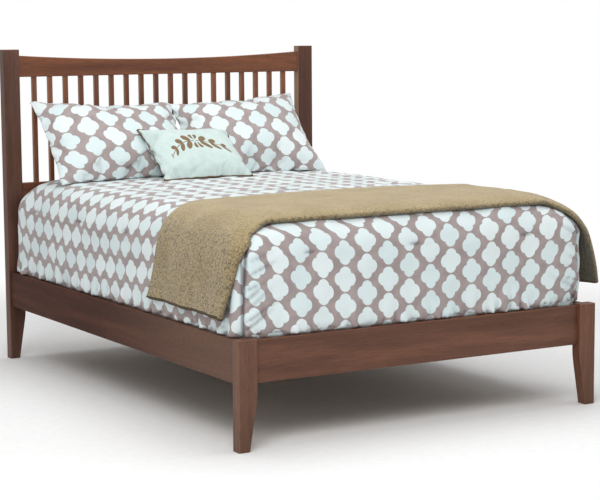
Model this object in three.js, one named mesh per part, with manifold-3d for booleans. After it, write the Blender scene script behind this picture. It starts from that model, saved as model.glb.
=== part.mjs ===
// A full size slatted bed, dressed with its foundation, mattress and bedding.
// Millimetres, +Z up. The origin lies on the floor under the middle of the clear opening.
// +Y points to the headboard and +X to the right, as seen from the foot.
import * as THREE from 'three';
import { mergeVertices } from 'three/addons/utils/BufferGeometryUtils.js';
import Module from 'manifold-3d';

const wasm = await Module();
wasm.setup();

// Fits
const SEAT = 0.3; // between a piece and what it sits on or in
const EASE = 2; // eased edge of posts and rails
const SLAT_EASE = 1.5; // eased edge of slats and cleats
const OVERCUT = 1; // how far a cut or a joined piece runs past the face it starts from

// Steps of the curved surfaces
const ROUND_SIDES = 24; // rods and turned pieces
const ARC_STEPS = 28; // top rail's upper edge
const PLATE_STEPS = 6; // round ends of the plates
const KNEE_STEPS = 4; // start of a leg's taper
const HOOK_STEPS = 3;
const CORNER_STEPS = 4; // round corners in plan
const ROUNDING_STEPS = 4; // upper edges of mattress and foundation
const COVER_EDGE_STEPS = 6;
const COVER_SHORT_STEPS = 8; // along the comforter's ends
const COVER_LONG_STEPS = 10; // along its sides
const CROWN_SHARES = [0.2, 0.45, 0.75];
const THROW_TOP_STEPS = 5; // from the middle to the rounded edge
const THROW_EDGE_STEPS = 6;
const THROW_FLAP_STEPS = 5;
const THROW_STATIONS = [0, 0.02, 0.06, 0.13, 0.24, 0.38, 0.54, 0.7, 0.86, 0.98, 1];
const PILLOW_COLUMNS = 16;
const ACCENT_COLUMNS = 12;
const PILLOW_ROWS = 10;
const SETTLE_STEPS = 16;
const TOUCH_VOLUME = 1; // cubic millimetres that count as a touch

// Mattress and the opening that takes it
const MATTRESS_WIDTH = 1372;
const MATTRESS_LENGTH = 1905;
const MATTRESS_HEIGHT = 284;
const MATTRESS_CORNER = 60; // in plan, also the foundation's
const MATTRESS_EDGE = 75; // rounded upper edge
const BOTTOM_EDGE = 10; // bevelled lower edge
const SIDE_CLEARANCE = 19.5; // mattress to side rail
const FOOT_CLEARANCE = 21; // mattress to foot rail
const HEAD_CLEARANCE = 21; // mattress to head posts
const FOUNDATION_HEIGHT = 140;
const FOUNDATION_EDGE = 4;

// Posts
const POST_WIDTH = 70;
const POST_DEPTH = 44.5;
const HEAD_POST_HEIGHT = 1283;
const FOOT_POST_HEIGHT = 370;
const TAPER_TOP = 182; // height where the inner face of a leg starts to taper
const TAPER_KNEE = 26; // height of the curved start of the taper
const FOOT_WIDTH = 40; // leg width on the floor

// Rails
const RAIL_THICKNESS = 25;
const RAIL_HEIGHT = 143;
const RAIL_BOTTOM = 222;
const SIDE_RAIL_RECESS = 6; // side rail behind the outer face of the posts
const FOOT_RAIL_RECESS = 15.5; // foot rail behind the front face of the foot posts

// Headboard
const HEAD_RAIL_THICKNESS = 30;
const HEAD_RAIL_RECESS = 8; // head rails behind the front face of the head posts
const TOP_RAIL_BOTTOM = 1170;
const TOP_RAIL_END = 88; // height of the top rail at the posts
const TOP_RAIL_SAG = 22; // dip of its upper edge in the middle
const MIDDLE_RAIL_TOP = 732;
const MIDDLE_RAIL_HEIGHT = 180;
const SLAT_COUNT = 18;
const SLAT_SIZE = 19;
const SLAT_HOUSING = 12; // depth of the slat ends in the rails

// Tenons of the rails
const TENON_LENGTH = 35;
const TENON_THICKNESS = 12;
const TENON_SHOULDER = 15; // above and below a tenon

// Bed rail fasteners: a hook plate in each rail end, a slotted plate in each post
const PLATE_WIDTH = 16;
const PLATE_HEIGHT = 124;
const PLATE_THICKNESS = 2.5;
const HOOK_THICKNESS = 2.5;
const HOOK_PITCH = 50;
const HOOK_REACH = 12; // how far a hook goes behind the face of the post
const HOOK_TOP = 11; // hook above its own middle
const HOOK_NOTCH = 9; // notch below its middle
const HOOK_LIP = 14; // lip below the notch
const HOOK_NOSE = 4; // bevel at the tip
const SLOT_SIDE = 0.4; // slot beside the hook
const CAVITY_WIDTH = 8;
const CAVITY_SPARE = 3; // free space behind and below the hooks
const SCREW_HOLE = 2.4; // radius of a screw hole in a plate
const SCREW_INSET = 5.5; // from the end of a plate

// Support for the foundation
const CLEAT_SIZE = 25;
const CLEAT_RISE = 3; // cleat above the lower edge of the side rail
const CLEAT_INSET = 30; // from each end of the side rail
const BED_SLAT_COUNT = 5;
const BED_SLAT_END = 122.5; // middle of the end slats from the ends of the mattress
const BED_SLAT_WIDTH = 89;
const BED_SLAT_THICKNESS = 19;
const BED_SLAT_PLAY = 3; // each end of a bed slat to the side rail

// Centre leg with its levelling glide
const LEG_SIZE = 38;
const LEG_BOTTOM = 30;
const LEG_TENON_RADIUS = 11;
const LEG_TENON_LENGTH = 12;
const STEM_RADIUS = 4;
const STEM_TOP = 62;
const STEM_CLEARANCE = 0.3; // radial, in the insert and in the leg
const STEM_BEVEL = 1;
const GLIDE_TRAVEL_UP = 12;
const BORE_SPARE = 2; // bore above the stem when it is screwed right in
const INSERT_RADIUS = 6.5;
const INSERT_LENGTH = 15;
const FLANGE_RADIUS = 11;
const FLANGE_THICKNESS = 2;
const PAD_RADIUS = 19;
const PAD_HEIGHT = 8;
const PAD_EDGE = 2;
const STUD_FOOT_RADIUS = 12; // round foot of the stud, moulded into the pad
const STUD_FOOT_THICKNESS = 3;
const NUT_RADIUS = 7.5;
const NUT_HEIGHT = 6;

// Comforter
const HEM_HEIGHT = 300; // lower edge, tucked behind the rails
const COVER_CORNER = 74; // corner radius in plan
const COVER_TOP_CORNER = 190; // the same where the edge meets the top
const COVER_BULGE_SIDE = 9.5; // over the side rails
const COVER_BULGE_FOOT = 12.5; // over the foot rail
const COVER_BULGE_START = 12; // height above the rails where the bulge is half out
const COVER_BULGE_RISE = 60; // height above the rails where it is full
const COVER_TAPER = 3; // sides lean in above the bulge
const COVER_EDGE_START = 612; // height where the sides start to round off
const COVER_EDGE_TOP = 750; // height where the rounding ends
const COVER_EDGE_WIDTH = 147; // width of the rounding
const COVER_HEAD_EDGE = 52; // the same at the head end
const COVER_CROWN = 10; // rise of the middle above the rounding
const COVER_RIDGE = 0.3; // part of the half length over which the crown rises
const COVER_HEAD_GAP = 1.5; // to the head posts

// Throw, folded double and laid across the foot half
const THROW_FRONT_INSET = 70; // front edge on the top, from the comforter's foot end
const THROW_FLAP_INSET = 28; // the same where the flaps come free
const THROW_FRONT_SWEEP = 51; // front corners of the flaps, further back
const THROW_BACK_INSET = 568; // back edge from the comforter's foot end
const THROW_BACK_SWEEP = 80; // back corners of the flaps, further back
const THROW_SWEEP_BOW = 1.7; // how late the edges of a flap turn back
const THROW_THICKNESS = 20;
const THROW_HEM = 420; // height of both hems
const THROW_RELEASE_ANGLE = 25; // degrees up the rounded edge where the flaps come free
const THROW_LEFT_FLARE = 19; // front corner of the left flap, away from the side
const THROW_RIGHT_FLARE = 110; // front corner of the right flap
const THROW_BACK_FLARE = 1; // back corners
const THROW_RIGHT_PUFF = 34; // front edge off the comforter where the right flap comes free
const THROW_FOLD = 7; // depth of the soft folds in the flaps
const THROW_FOLD_COUNT = 2;
const THROW_FLARE_FADE = 1.6; // how soon the flares fade towards the back
const THROW_FLARE_BOW = 1.1; // how late it starts below the rounded edge

// Pillows: sizes between the corner tips
const PILLOW_TOP_WIDTH = 628;
const PILLOW_BOTTOM_WIDTH = 618;
const PILLOW_HEIGHT = 456;
const PILLOW_THICKNESS = 160;
const PILLOW_DRAW = 20; // how far the lower edge is drawn in between the corners
const PILLOW_SHIFT = -22; // the bottoms lie to the left of the tops
const PILLOW_LEAN = 47.5; // degrees from upright
const PILLOW_SINK = 12; // pressed into the comforter's top
const PILLOW_LEFT_X = -305;
const PILLOW_LEFT_SLANT = -17; // rise of the top edge from its middle to its right end
const PILLOW_LEFT_DIP = 30; // how far the top edge is drawn in
const PILLOW_LEFT_WAIST = 14; // how far each side is drawn in
const PILLOW_RIGHT_X = 312;
const PILLOW_RIGHT_SLANT = 24;
const PILLOW_RIGHT_DIP = 18;
const PILLOW_RIGHT_WAIST = 28;

const ACCENT_WIDTH = 398;
const ACCENT_HEIGHT = 300;
const ACCENT_THICKNESS = 110;
const ACCENT_DRAW = 9;
const ACCENT_LEAN = 52.5;
const ACCENT_X = -57;
const ACCENT_SLANT = -15;
const ACCENT_SINK = 8;
const ACCENT_PRESS = 6; // pressed against the pillows behind it
const SEAM_THICKNESS = 3;
const PILLOW_FULLNESS = 0.4; // lower is fuller towards the seam

// Places that follow from the sizes above
const openingHalf = MATTRESS_WIDTH / 2 + SIDE_CLEARANCE;
const footRailBack = -(MATTRESS_LENGTH / 2 + FOOT_CLEARANCE);
const headPostFront = MATTRESS_LENGTH / 2 + HEAD_CLEARANCE;
const railOuter = openingHalf + RAIL_THICKNESS;
const postOuter = railOuter + SIDE_RAIL_RECESS;
const postInner = postOuter - POST_WIDTH;
const footRailFront = footRailBack - RAIL_THICKNESS;
const footPostFront = footRailFront - FOOT_RAIL_RECESS;
const footPostBack = footPostFront + POST_DEPTH;
const railTop = RAIL_BOTTOM + RAIL_HEIGHT;
const headRailFront = headPostFront + HEAD_RAIL_RECESS;
const headRailBack = headRailFront + HEAD_RAIL_THICKNESS;
const headRailMiddle = (headRailFront + headRailBack) / 2;
const topRailTop = TOP_RAIL_BOTTOM + TOP_RAIL_END;
const middleRailBottom = MIDDLE_RAIL_TOP - MIDDLE_RAIL_HEIGHT;
const slatFront = headRailMiddle - SLAT_SIZE / 2;
const slatPitch = (2 * postInner) / (SLAT_COUNT + 1);
const cleatBottom = RAIL_BOTTOM + CLEAT_RISE;
const bedSlatBottom = cleatBottom + CLEAT_SIZE + SEAT;
const bedSlatTop = bedSlatBottom + BED_SLAT_THICKNESS;
const foundationBottom = bedSlatTop + SEAT;
const bedSlatPitch = (MATTRESS_LENGTH - 2 * BED_SLAT_END) / (BED_SLAT_COUNT - 1);
const mattressBottom = foundationBottom + FOUNDATION_HEIGHT + SEAT;
const mattressTop = mattressBottom + MATTRESS_HEIGHT;
const railMiddle = openingHalf + RAIL_THICKNESS / 2;
const plateMiddle = RAIL_BOTTOM + RAIL_HEIGHT / 2;

const oak = (color) => new THREE.MeshStandardMaterial({ color, roughness: 0.42, metalness: 0 });
const cloth = (color) => new THREE.MeshStandardMaterial({ color, roughness: 0.95, metalness: 0 });
const material = {
  post: oak(0x5d3a30),
  rail: oak(0x6a4232),
  headRail: oak(0x7a4a30),
  slat: oak(0x70432f),
  support: oak(0xc9a577),
  steel: new THREE.MeshStandardMaterial({ color: 0x9a9a98, roughness: 0.35, metalness: 1 }),
  plastic: new THREE.MeshStandardMaterial({ color: 0x222222, roughness: 0.6, metalness: 0 }),
  ticking: cloth(0xe6e2da),
  print: cloth(0xcfdcda),
  aqua: cloth(0xcde8e4),
  olive: cloth(0xa6936a),
};

// Solids from three.js geometry, for cutting and joining

function solid(geometry) {
  const bare = geometry.clone();
  bare.deleteAttribute('normal');
  bare.deleteAttribute('uv');
  const merged = mergeVertices(bare, 1e-4);
  const triVerts = new Uint32Array(merged.index.array);
  const vertProperties = new Float32Array(merged.attributes.position.array);
  return new wasm.Manifold(new wasm.Mesh({ numProp: 3, vertProperties, triVerts }));
}

function geometryOf(body) {
  const mesh = body.getMesh();
  const geometry = new THREE.BufferGeometry();
  geometry.setAttribute('position', new THREE.BufferAttribute(mesh.vertProperties, 3));
  geometry.setIndex(new THREE.BufferAttribute(mesh.triVerts, 1));
  geometry.computeVertexNormals();
  return geometry;
}

function meshOf(name, body, look) {
  const mesh = new THREE.Mesh(geometryOf(body), look.clone());
  mesh.name = name;
  return mesh;
}

function boxBetween(low, high) {
  const [x0, y0, z0] = low;
  const [x1, y1, z1] = high;
  const geometry = new THREE.BoxGeometry(x1 - x0, y1 - y0, z1 - z0);
  geometry.translate((x0 + x1) / 2, (y0 + y1) / 2, (z0 + z1) / 2);
  return solid(geometry);
}

function rod(radius, z0, z1, x = 0, y = 0) {
  const geometry = new THREE.CylinderGeometry(radius, radius, z1 - z0, ROUND_SIDES);
  geometry.rotateX(Math.PI / 2);
  geometry.translate(x, y, (z0 + z1) / 2);
  return solid(geometry);
}

function prism(shape, depth, ease, curveSegments = 12) {
  return new THREE.ExtrudeGeometry(shape, {
    depth: depth - 2 * ease,
    bevelEnabled: ease > 0,
    bevelThickness: ease,
    bevelSize: ease,
    bevelOffset: -ease,
    bevelSegments: 1,
    curveSegments,
  });
}

// A shape drawn in X and Z, extruded along Y from y0 to y1
function extrudeAlongY(shape, y0, y1, ease, curveSegments) {
  const geometry = prism(shape, y1 - y0, ease, curveSegments);
  geometry.rotateX(Math.PI / 2);
  geometry.translate(0, y1 - ease, 0);
  return solid(geometry);
}

// A shape drawn in Y and Z, extruded along X from x0 to x1
function extrudeAlongX(shape, x0, x1, ease, curveSegments) {
  const geometry = prism(shape, x1 - x0, ease, curveSegments);
  const turn = new THREE.Matrix4().makeBasis(
    new THREE.Vector3(0, 1, 0),
    new THREE.Vector3(0, 0, 1),
    new THREE.Vector3(1, 0, 0),
  );
  geometry.applyMatrix4(turn);
  geometry.translate(x0 + ease, 0, 0);
  return solid(geometry);
}

// A shape drawn in X and Y, extruded upwards from z0 to z1
function extrudeUp(shape, z0, z1, ease, curveSegments) {
  const geometry = prism(shape, z1 - z0, ease, curveSegments);
  geometry.translate(0, 0, z0 + ease);
  return solid(geometry);
}

// A rectangle with its corners cut off
function easedRectangle(a0, a1, b0, b1, ease) {
  const shape = new THREE.Shape();
  shape.moveTo(a0 + ease, b0);
  shape.lineTo(a1 - ease, b0);
  shape.lineTo(a1, b0 + ease);
  shape.lineTo(a1, b1 - ease);
  shape.lineTo(a1 - ease, b1);
  shape.lineTo(a0 + ease, b1);
  shape.lineTo(a0, b1 - ease);
  shape.lineTo(a0, b0 + ease);
  shape.closePath();
  return shape;
}

// The same height range and fit for a tenon and for its mortise
function tenonBox(side, yMiddle, z0, z1, spare) {
  const half = TENON_THICKNESS / 2 + spare;
  const root = postInner - SEAT - OVERCUT;
  const tip = postInner + TENON_LENGTH + spare;
  const xs = side < 0 ? [-tip, -root] : [root, tip];
  const low = [xs[0], yMiddle - half, z0 + TENON_SHOULDER - spare];
  const high = [xs[1], yMiddle + half, z1 - TENON_SHOULDER + spare];
  return boxBetween(low, high);
}

// Posts

function postOutline(height) {
  const slope = (POST_WIDTH - FOOT_WIDTH) / TAPER_TOP;
  const kneeBottom = TAPER_TOP - TAPER_KNEE;
  const shape = new THREE.Shape();
  shape.moveTo(0, 0);
  shape.lineTo(FOOT_WIDTH, 0);
  shape.lineTo(FOOT_WIDTH + slope * kneeBottom, kneeBottom);
  shape.quadraticCurveTo(POST_WIDTH, TAPER_TOP, POST_WIDTH, TAPER_TOP + TAPER_KNEE);
  shape.lineTo(POST_WIDTH, height);
  shape.lineTo(0, height);
  shape.closePath();
  return shape;
}

// The outline starts at the outer face and is mirrored for the right side
function postBlank(side, height, yFront) {
  const outline = postOutline(height);
  const blank = extrudeAlongY(outline, yFront, yFront + POST_DEPTH, EASE, KNEE_STEPS);
  if (side < 0) {
    return blank.translate([-postOuter, 0, 0]);
  }
  return blank.mirror([1, 0, 0]).translate([postOuter, 0, 0]);
}

// Room in a post for the slotted plate and the hooks behind it.
// The plate lies in the face at y, and into is the direction into the post.
function plateMortise(side, y, into) {
  const x = side * railMiddle;
  const seat = stadium(PLATE_WIDTH + 2 * SEAT, PLATE_HEIGHT + 2 * SEAT, x);
  const floor = y + into * (PLATE_THICKNESS + SEAT);
  const back = y + into * (HOOK_REACH + CAVITY_SPARE);
  const mouth = y - into * OVERCUT;
  const [y0, y1] = [Math.min(mouth, floor), Math.max(mouth, floor)];
  const pocket = extrudeAlongY(seat, y0, y1, 0, PLATE_STEPS);
  const top = plateMiddle + HOOK_PITCH / 2 + slotTop() + SEAT;
  const bottom = plateMiddle - HOOK_PITCH / 2 - HOOK_NOTCH - HOOK_LIP - CAVITY_SPARE;
  const low = [x - CAVITY_WIDTH / 2, Math.min(y, back), bottom];
  const high = [x + CAVITY_WIDTH / 2, Math.max(y, back), top];
  return pocket.add(boxBetween(low, high));
}

function headPost(side) {
  const rails = [
    [TOP_RAIL_BOTTOM, topRailTop],
    [middleRailBottom, MIDDLE_RAIL_TOP],
    [RAIL_BOTTOM, railTop],
  ];
  let post = postBlank(side, HEAD_POST_HEIGHT, headPostFront);
  for (const [z0, z1] of rails) {
    post = post.subtract(tenonBox(side, headRailMiddle, z0, z1, SEAT));
  }
  return post.subtract(plateMortise(side, headPostFront, 1));
}

function footPost(side) {
  const railY = (footRailFront + footRailBack) / 2;
  return postBlank(side, FOOT_POST_HEIGHT, footPostFront)
    .subtract(tenonBox(side, railY, RAIL_BOTTOM, railTop, SEAT))
    .subtract(plateMortise(side, footPostBack, -1));
}

// Headboard rails and slats

function withTenons(rail, yMiddle, z0, z1) {
  return rail
    .add(tenonBox(-1, yMiddle, z0, z1, 0))
    .add(tenonBox(1, yMiddle, z0, z1, 0));
}

function slatX(index) {
  return (index - (SLAT_COUNT - 1) / 2) * slatPitch;
}

// Sockets for the slat ends, open towards the slats
function slatSockets(rail, z0, z1) {
  const half = SLAT_SIZE / 2 + SEAT;
  let cut = rail;
  for (let i = 0; i < SLAT_COUNT; i += 1) {
    const x = slatX(i);
    const low = [x - half, headRailMiddle - half, z0];
    const high = [x + half, headRailMiddle + half, z1];
    cut = cut.subtract(boxBetween(low, high));
  }
  return cut;
}

function topRail() {
  const half = postInner - SEAT;
  const radius = (half * half + TOP_RAIL_SAG * TOP_RAIL_SAG) / (2 * TOP_RAIL_SAG);
  const reach = Math.asin(half / radius);
  const arcCentre = topRailTop - TOP_RAIL_SAG + radius;
  const shape = new THREE.Shape();
  shape.moveTo(-half, TOP_RAIL_BOTTOM);
  shape.lineTo(half, TOP_RAIL_BOTTOM);
  shape.lineTo(half, topRailTop);
  shape.absarc(0, arcCentre, radius, -Math.PI / 2 + reach, -Math.PI / 2 - reach, true);
  shape.closePath();
  const board = extrudeAlongY(shape, headRailFront, headRailBack, EASE, ARC_STEPS);
  const floor = TOP_RAIL_BOTTOM + SLAT_HOUSING + SEAT;
  const socketed = slatSockets(board, TOP_RAIL_BOTTOM - OVERCUT, floor);
  return withTenons(socketed, headRailMiddle, TOP_RAIL_BOTTOM, topRailTop);
}

function straightRail(y0, y1, z0, z1) {
  const half = postInner - SEAT;
  const section = easedRectangle(y0, y1, z0, z1, EASE);
  return extrudeAlongX(section, -half, half, 0);
}

function middleRail() {
  const board = straightRail(headRailFront, headRailBack, middleRailBottom, MIDDLE_RAIL_TOP);
  const floor = MIDDLE_RAIL_TOP - SLAT_HOUSING - SEAT;
  const socketed = slatSockets(board, floor, MIDDLE_RAIL_TOP + OVERCUT);
  return withTenons(socketed, headRailMiddle, middleRailBottom, MIDDLE_RAIL_TOP);
}

function headStretcher() {
  const board = straightRail(headRailFront, headRailBack, RAIL_BOTTOM, railTop);
  return withTenons(board, headRailMiddle, RAIL_BOTTOM, railTop);
}

function headSlat() {
  const half = SLAT_SIZE / 2;
  const bottom = MIDDLE_RAIL_TOP - SLAT_HOUSING;
  const top = TOP_RAIL_BOTTOM + SLAT_HOUSING;
  return extrudeUp(easedRectangle(-half, half, -half, half, SLAT_EASE), bottom, top, 0);
}

function footRail() {
  const board = straightRail(footRailFront, footRailBack, RAIL_BOTTOM, railTop);
  return withTenons(board, (footRailFront + footRailBack) / 2, RAIL_BOTTOM, railTop);
}

// Side rails and their fasteners

// A plate outline with round ends, drawn in X and Z round the middle of a rail
function stadium(width, height, x) {
  const radius = width / 2;
  const straight = height / 2 - radius;
  const shape = new THREE.Shape();
  shape.absarc(x, plateMiddle + straight, radius, 0, Math.PI, false);
  shape.absarc(x, plateMiddle - straight, radius, Math.PI, 2 * Math.PI, false);
  shape.closePath();
  return shape;
}

// Height of a slot above the middle of its hook: the lip has to pass when the rail is lifted
function slotTop() {
  return HOOK_TOP + HOOK_LIP + 2 * SEAT;
}

function screwHoles(side) {
  const middle = PLATE_HEIGHT / 2 - SCREW_INSET;
  const holes = [];
  for (const z of [plateMiddle - middle, plateMiddle + middle]) {
    const path = new THREE.Path();
    path.absarc(side * railMiddle, z, SCREW_HOLE, 0, 2 * Math.PI, true);
    holes.push(path);
  }
  return holes;
}

// One hook, drawn in Y and Z: y is the face of the post, into the direction into it
function hookOutline(y, into, z) {
  const behind = y + into * (PLATE_THICKNESS + SEAT);
  const tip = y + into * HOOK_REACH;
  const root = y - into * (SEAT + PLATE_THICKNESS / 2);
  const lipBottom = z - HOOK_NOTCH - HOOK_LIP;
  const shape = new THREE.Shape();
  shape.moveTo(root, z + HOOK_TOP);
  shape.lineTo(tip - into * HOOK_NOSE, z + HOOK_TOP);
  shape.quadraticCurveTo(tip, z + HOOK_TOP, tip, z + HOOK_TOP - HOOK_NOSE);
  shape.lineTo(tip, lipBottom + HOOK_NOSE);
  shape.lineTo(tip - into * HOOK_NOSE, lipBottom);
  shape.lineTo(behind, lipBottom);
  shape.lineTo(behind, z - HOOK_NOTCH);
  shape.lineTo(root, z - HOOK_NOTCH);
  shape.closePath();
  return shape;
}

function hookPlate(side, y, into) {
  const x = side * railMiddle;
  const face = y - into * SEAT;
  const back = face - into * PLATE_THICKNESS;
  const outline = stadium(PLATE_WIDTH, PLATE_HEIGHT, x);
  outline.holes = screwHoles(side);
  let plate = extrudeAlongY(outline, Math.min(face, back), Math.max(face, back), 0, PLATE_STEPS);
  for (const z of [plateMiddle - HOOK_PITCH / 2, plateMiddle + HOOK_PITCH / 2]) {
    const half = HOOK_THICKNESS / 2;
    plate = plate.add(extrudeAlongX(hookOutline(y, into, z), x - half, x + half, 0, HOOK_STEPS));
  }
  return plate;
}

function slottedPlate(side, y, into) {
  const x = side * railMiddle;
  const back = y + into * PLATE_THICKNESS;
  const outline = stadium(PLATE_WIDTH, PLATE_HEIGHT, x);
  outline.holes = screwHoles(side);
  let plate = extrudeAlongY(outline, Math.min(y, back), Math.max(y, back), 0, PLATE_STEPS);
  const half = HOOK_THICKNESS / 2 + SLOT_SIDE;
  for (const z of [plateMiddle - HOOK_PITCH / 2, plateMiddle + HOOK_PITCH / 2]) {
    const low = [x - half, Math.min(y, back) - OVERCUT, z - HOOK_NOTCH - SEAT];
    const high = [x + half, Math.max(y, back) + OVERCUT, z + slotTop()];
    plate = plate.subtract(boxBetween(low, high));
  }
  return plate;
}

function sideRail(side) {
  const inner = side * openingHalf;
  const outer = side * railOuter;
  const x0 = Math.min(inner, outer);
  const x1 = Math.max(inner, outer);
  const foot = footPostBack + SEAT;
  const head = headPostFront - SEAT;
  let rail = extrudeAlongY(easedRectangle(x0, x1, RAIL_BOTTOM, railTop, EASE), foot, head, 0);
  const seat = stadium(PLATE_WIDTH + 2 * SEAT, PLATE_HEIGHT + 2 * SEAT, side * railMiddle);
  const depth = PLATE_THICKNESS + SEAT;
  rail = rail.subtract(extrudeAlongY(seat, foot - OVERCUT, foot + depth, 0, PLATE_STEPS));
  return rail.subtract(extrudeAlongY(seat, head - depth, head + OVERCUT, 0, PLATE_STEPS));
}

// Cleats, bed slats and the centre leg

function cleat(side) {
  const outer = openingHalf - SEAT;
  const inner = outer - CLEAT_SIZE;
  const x = side < 0 ? -outer : inner;
  const z = cleatBottom;
  const section = easedRectangle(x, x + CLEAT_SIZE, z, z + CLEAT_SIZE, SLAT_EASE);
  return extrudeAlongY(section, footPostBack + CLEAT_INSET, headPostFront - CLEAT_INSET, 0);
}

function bedSlatY(index) {
  return (index - (BED_SLAT_COUNT - 1) / 2) * bedSlatPitch;
}

function bedSlat(index) {
  const y = bedSlatY(index);
  const half = BED_SLAT_WIDTH / 2;
  const reach = openingHalf - BED_SLAT_PLAY;
  const section = easedRectangle(y - half, y + half, bedSlatBottom, bedSlatTop, SLAT_EASE);
  return extrudeAlongX(section, -reach, reach, 0);
}

// The slat in the middle takes the round tenon of the centre leg
function middleBedSlat(index) {
  const socketTop = bedSlatBottom + LEG_TENON_LENGTH;
  const socket = rod(LEG_TENON_RADIUS + SEAT, bedSlatBottom - OVERCUT, socketTop);
  return bedSlat(index).subtract(socket);
}

function centreLeg() {
  const half = LEG_SIZE / 2;
  const top = bedSlatBottom - SEAT;
  const bottom = LEG_BOTTOM - OVERCUT;
  const boreTop = STEM_TOP + GLIDE_TRAVEL_UP + BORE_SPARE;
  const insertTop = LEG_BOTTOM + FLANGE_THICKNESS + INSERT_LENGTH;
  return extrudeUp(easedRectangle(-half, half, -half, half, EASE), LEG_BOTTOM, top, 0)
    .add(rod(LEG_TENON_RADIUS, top - OVERCUT, top + LEG_TENON_LENGTH))
    .subtract(rod(STEM_RADIUS + STEM_CLEARANCE, bottom, boreTop))
    .subtract(rod(INSERT_RADIUS + SEAT, bottom, insertTop + SEAT))
    .subtract(rod(FLANGE_RADIUS + SEAT, bottom, LEG_BOTTOM + FLANGE_THICKNESS + SEAT));
}

function glideInsert() {
  const flangeTop = LEG_BOTTOM + FLANGE_THICKNESS;
  const top = flangeTop + INSERT_LENGTH;
  return rod(FLANGE_RADIUS, LEG_BOTTOM, flangeTop)
    .add(rod(INSERT_RADIUS, flangeTop - OVERCUT, top))
    .subtract(rod(STEM_RADIUS + STEM_CLEARANCE, LEG_BOTTOM - OVERCUT, top + OVERCUT));
}

function turned(profile) {
  const outline = profile.map(([r, z]) => new THREE.Vector2(r, z));
  const geometry = new THREE.LatheGeometry(outline, ROUND_SIDES);
  geometry.rotateX(Math.PI / 2);
  return solid(geometry);
}

// Round foot, hexagonal nut and stem of the steel stud
function glideStud() {
  const footBottom = PAD_HEIGHT - STUD_FOOT_THICKNESS;
  const nut = new THREE.CylinderGeometry(NUT_RADIUS, NUT_RADIUS, NUT_HEIGHT, 6);
  nut.rotateX(Math.PI / 2);
  nut.translate(0, 0, PAD_HEIGHT + NUT_HEIGHT / 2 - SEAT);
  return turned([
    [0, footBottom],
    [STUD_FOOT_RADIUS, footBottom],
    [STUD_FOOT_RADIUS, PAD_HEIGHT],
    [STEM_RADIUS, PAD_HEIGHT],
    [STEM_RADIUS, STEM_TOP - STEM_BEVEL],
    [STEM_RADIUS - STEM_BEVEL, STEM_TOP],
    [0, STEM_TOP],
  ]).add(solid(nut));
}

function glidePad() {
  const pocket = STUD_FOOT_RADIUS + SEAT;
  const pocketFloor = PAD_HEIGHT - STUD_FOOT_THICKNESS - SEAT;
  return turned([
    [0, 0],
    [PAD_RADIUS - PAD_EDGE, 0],
    [PAD_RADIUS, PAD_EDGE],
    [PAD_RADIUS, PAD_HEIGHT - PAD_EDGE],
    [PAD_RADIUS - PAD_EDGE, PAD_HEIGHT],
    [pocket, PAD_HEIGHT],
    [pocket, pocketFloor],
    [0, pocketFloor],
  ]);
}

// Soft pieces

// A closed loft through rings of points [x, y, z] that run anticlockwise from above
function loft(rings) {
  const count = rings[0].length;
  const points = rings.flat();
  const faces = [];
  for (let r = 0; r + 1 < rings.length; r += 1) {
    for (let i = 0; i < count; i += 1) {
      const j = (i + 1) % count;
      const a = r * count + i;
      const b = r * count + j;
      faces.push([a, b, b + count], [a, b + count, a + count]);
    }
  }
  for (const [r, up] of [[0, false], [rings.length - 1, true]]) {
    const middle = points.push(centreOf(rings[r])) - 1;
    for (let i = 0; i < count; i += 1) {
      const a = r * count + i;
      const b = r * count + (i + 1) % count;
      faces.push(up ? [middle, a, b] : [middle, b, a]);
    }
  }
  return solidOf(points, faces);
}

function centreOf(ring) {
  const sum = [0, 0, 0];
  for (const point of ring) {
    point.forEach((value, k) => { sum[k] += value; });
  }
  return sum.map((value) => value / ring.length);
}

function solidOf(points, faces) {
  const geometry = new THREE.BufferGeometry();
  geometry.setAttribute('position', new THREE.Float32BufferAttribute(points.flat(), 3));
  geometry.setIndex(faces.flat());
  return solid(geometry);
}

// A level ring: a rectangle with round corners, with long sides along Y
function roundedRing(halfX, y0, y1, radius, z, shortSteps, longSteps) {
  const middleY = (y0 + y1) / 2;
  const halfY = (y1 - y0) / 2;
  const ring = [];
  const corners = [[1, -1, -90], [1, 1, 0], [-1, 1, 90], [-1, -1, 180]];
  corners.forEach(([sx, sy, start], index) => {
    const cx = sx * (halfX - radius);
    const cy = middleY + sy * (halfY - radius);
    for (let k = 0; k <= CORNER_STEPS; k += 1) {
      const angle = THREE.MathUtils.degToRad(start + (90 * k) / CORNER_STEPS);
      ring.push([cx + radius * Math.cos(angle), cy + radius * Math.sin(angle), z]);
    }
    const long = index % 2 === 0;
    const steps = long ? longSteps : shortSteps;
    const from = ring[ring.length - 1];
    const length = 2 * ((long ? halfY : halfX) - radius);
    const [dx, dy] = [[0, 1], [-1, 0], [0, -1], [1, 0]][index];
    for (let k = 1; k < steps; k += 1) {
      const s = (length * k) / steps;
      ring.push([from[0] + dx * s, from[1] + dy * s, z]);
    }
  });
  return ring;
}

// A block with round corners in plan, a bevelled lower edge and a rounded upper edge
function softBlock(grow, z0, z1, lowerEdge, upperEdge) {
  const halfX = MATTRESS_WIDTH / 2 + grow;
  const halfY = MATTRESS_LENGTH / 2 + grow;
  const ring = (inset, z) => {
    const radius = Math.max(MATTRESS_CORNER - inset, MATTRESS_CORNER / 4);
    return roundedRing(halfX - inset, inset - halfY, halfY - inset, radius, z, 1, 1);
  };
  const rings = [ring(lowerEdge, z0), ring(0, z0 + lowerEdge)];
  for (let k = 0; k <= ROUNDING_STEPS; k += 1) {
    const angle = (Math.PI / 2) * (k / ROUNDING_STEPS);
    rings.push(ring(upperEdge * (1 - Math.cos(angle)), z1 - upperEdge * (1 - Math.sin(angle))));
  }
  return loft(rings);
}

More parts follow.
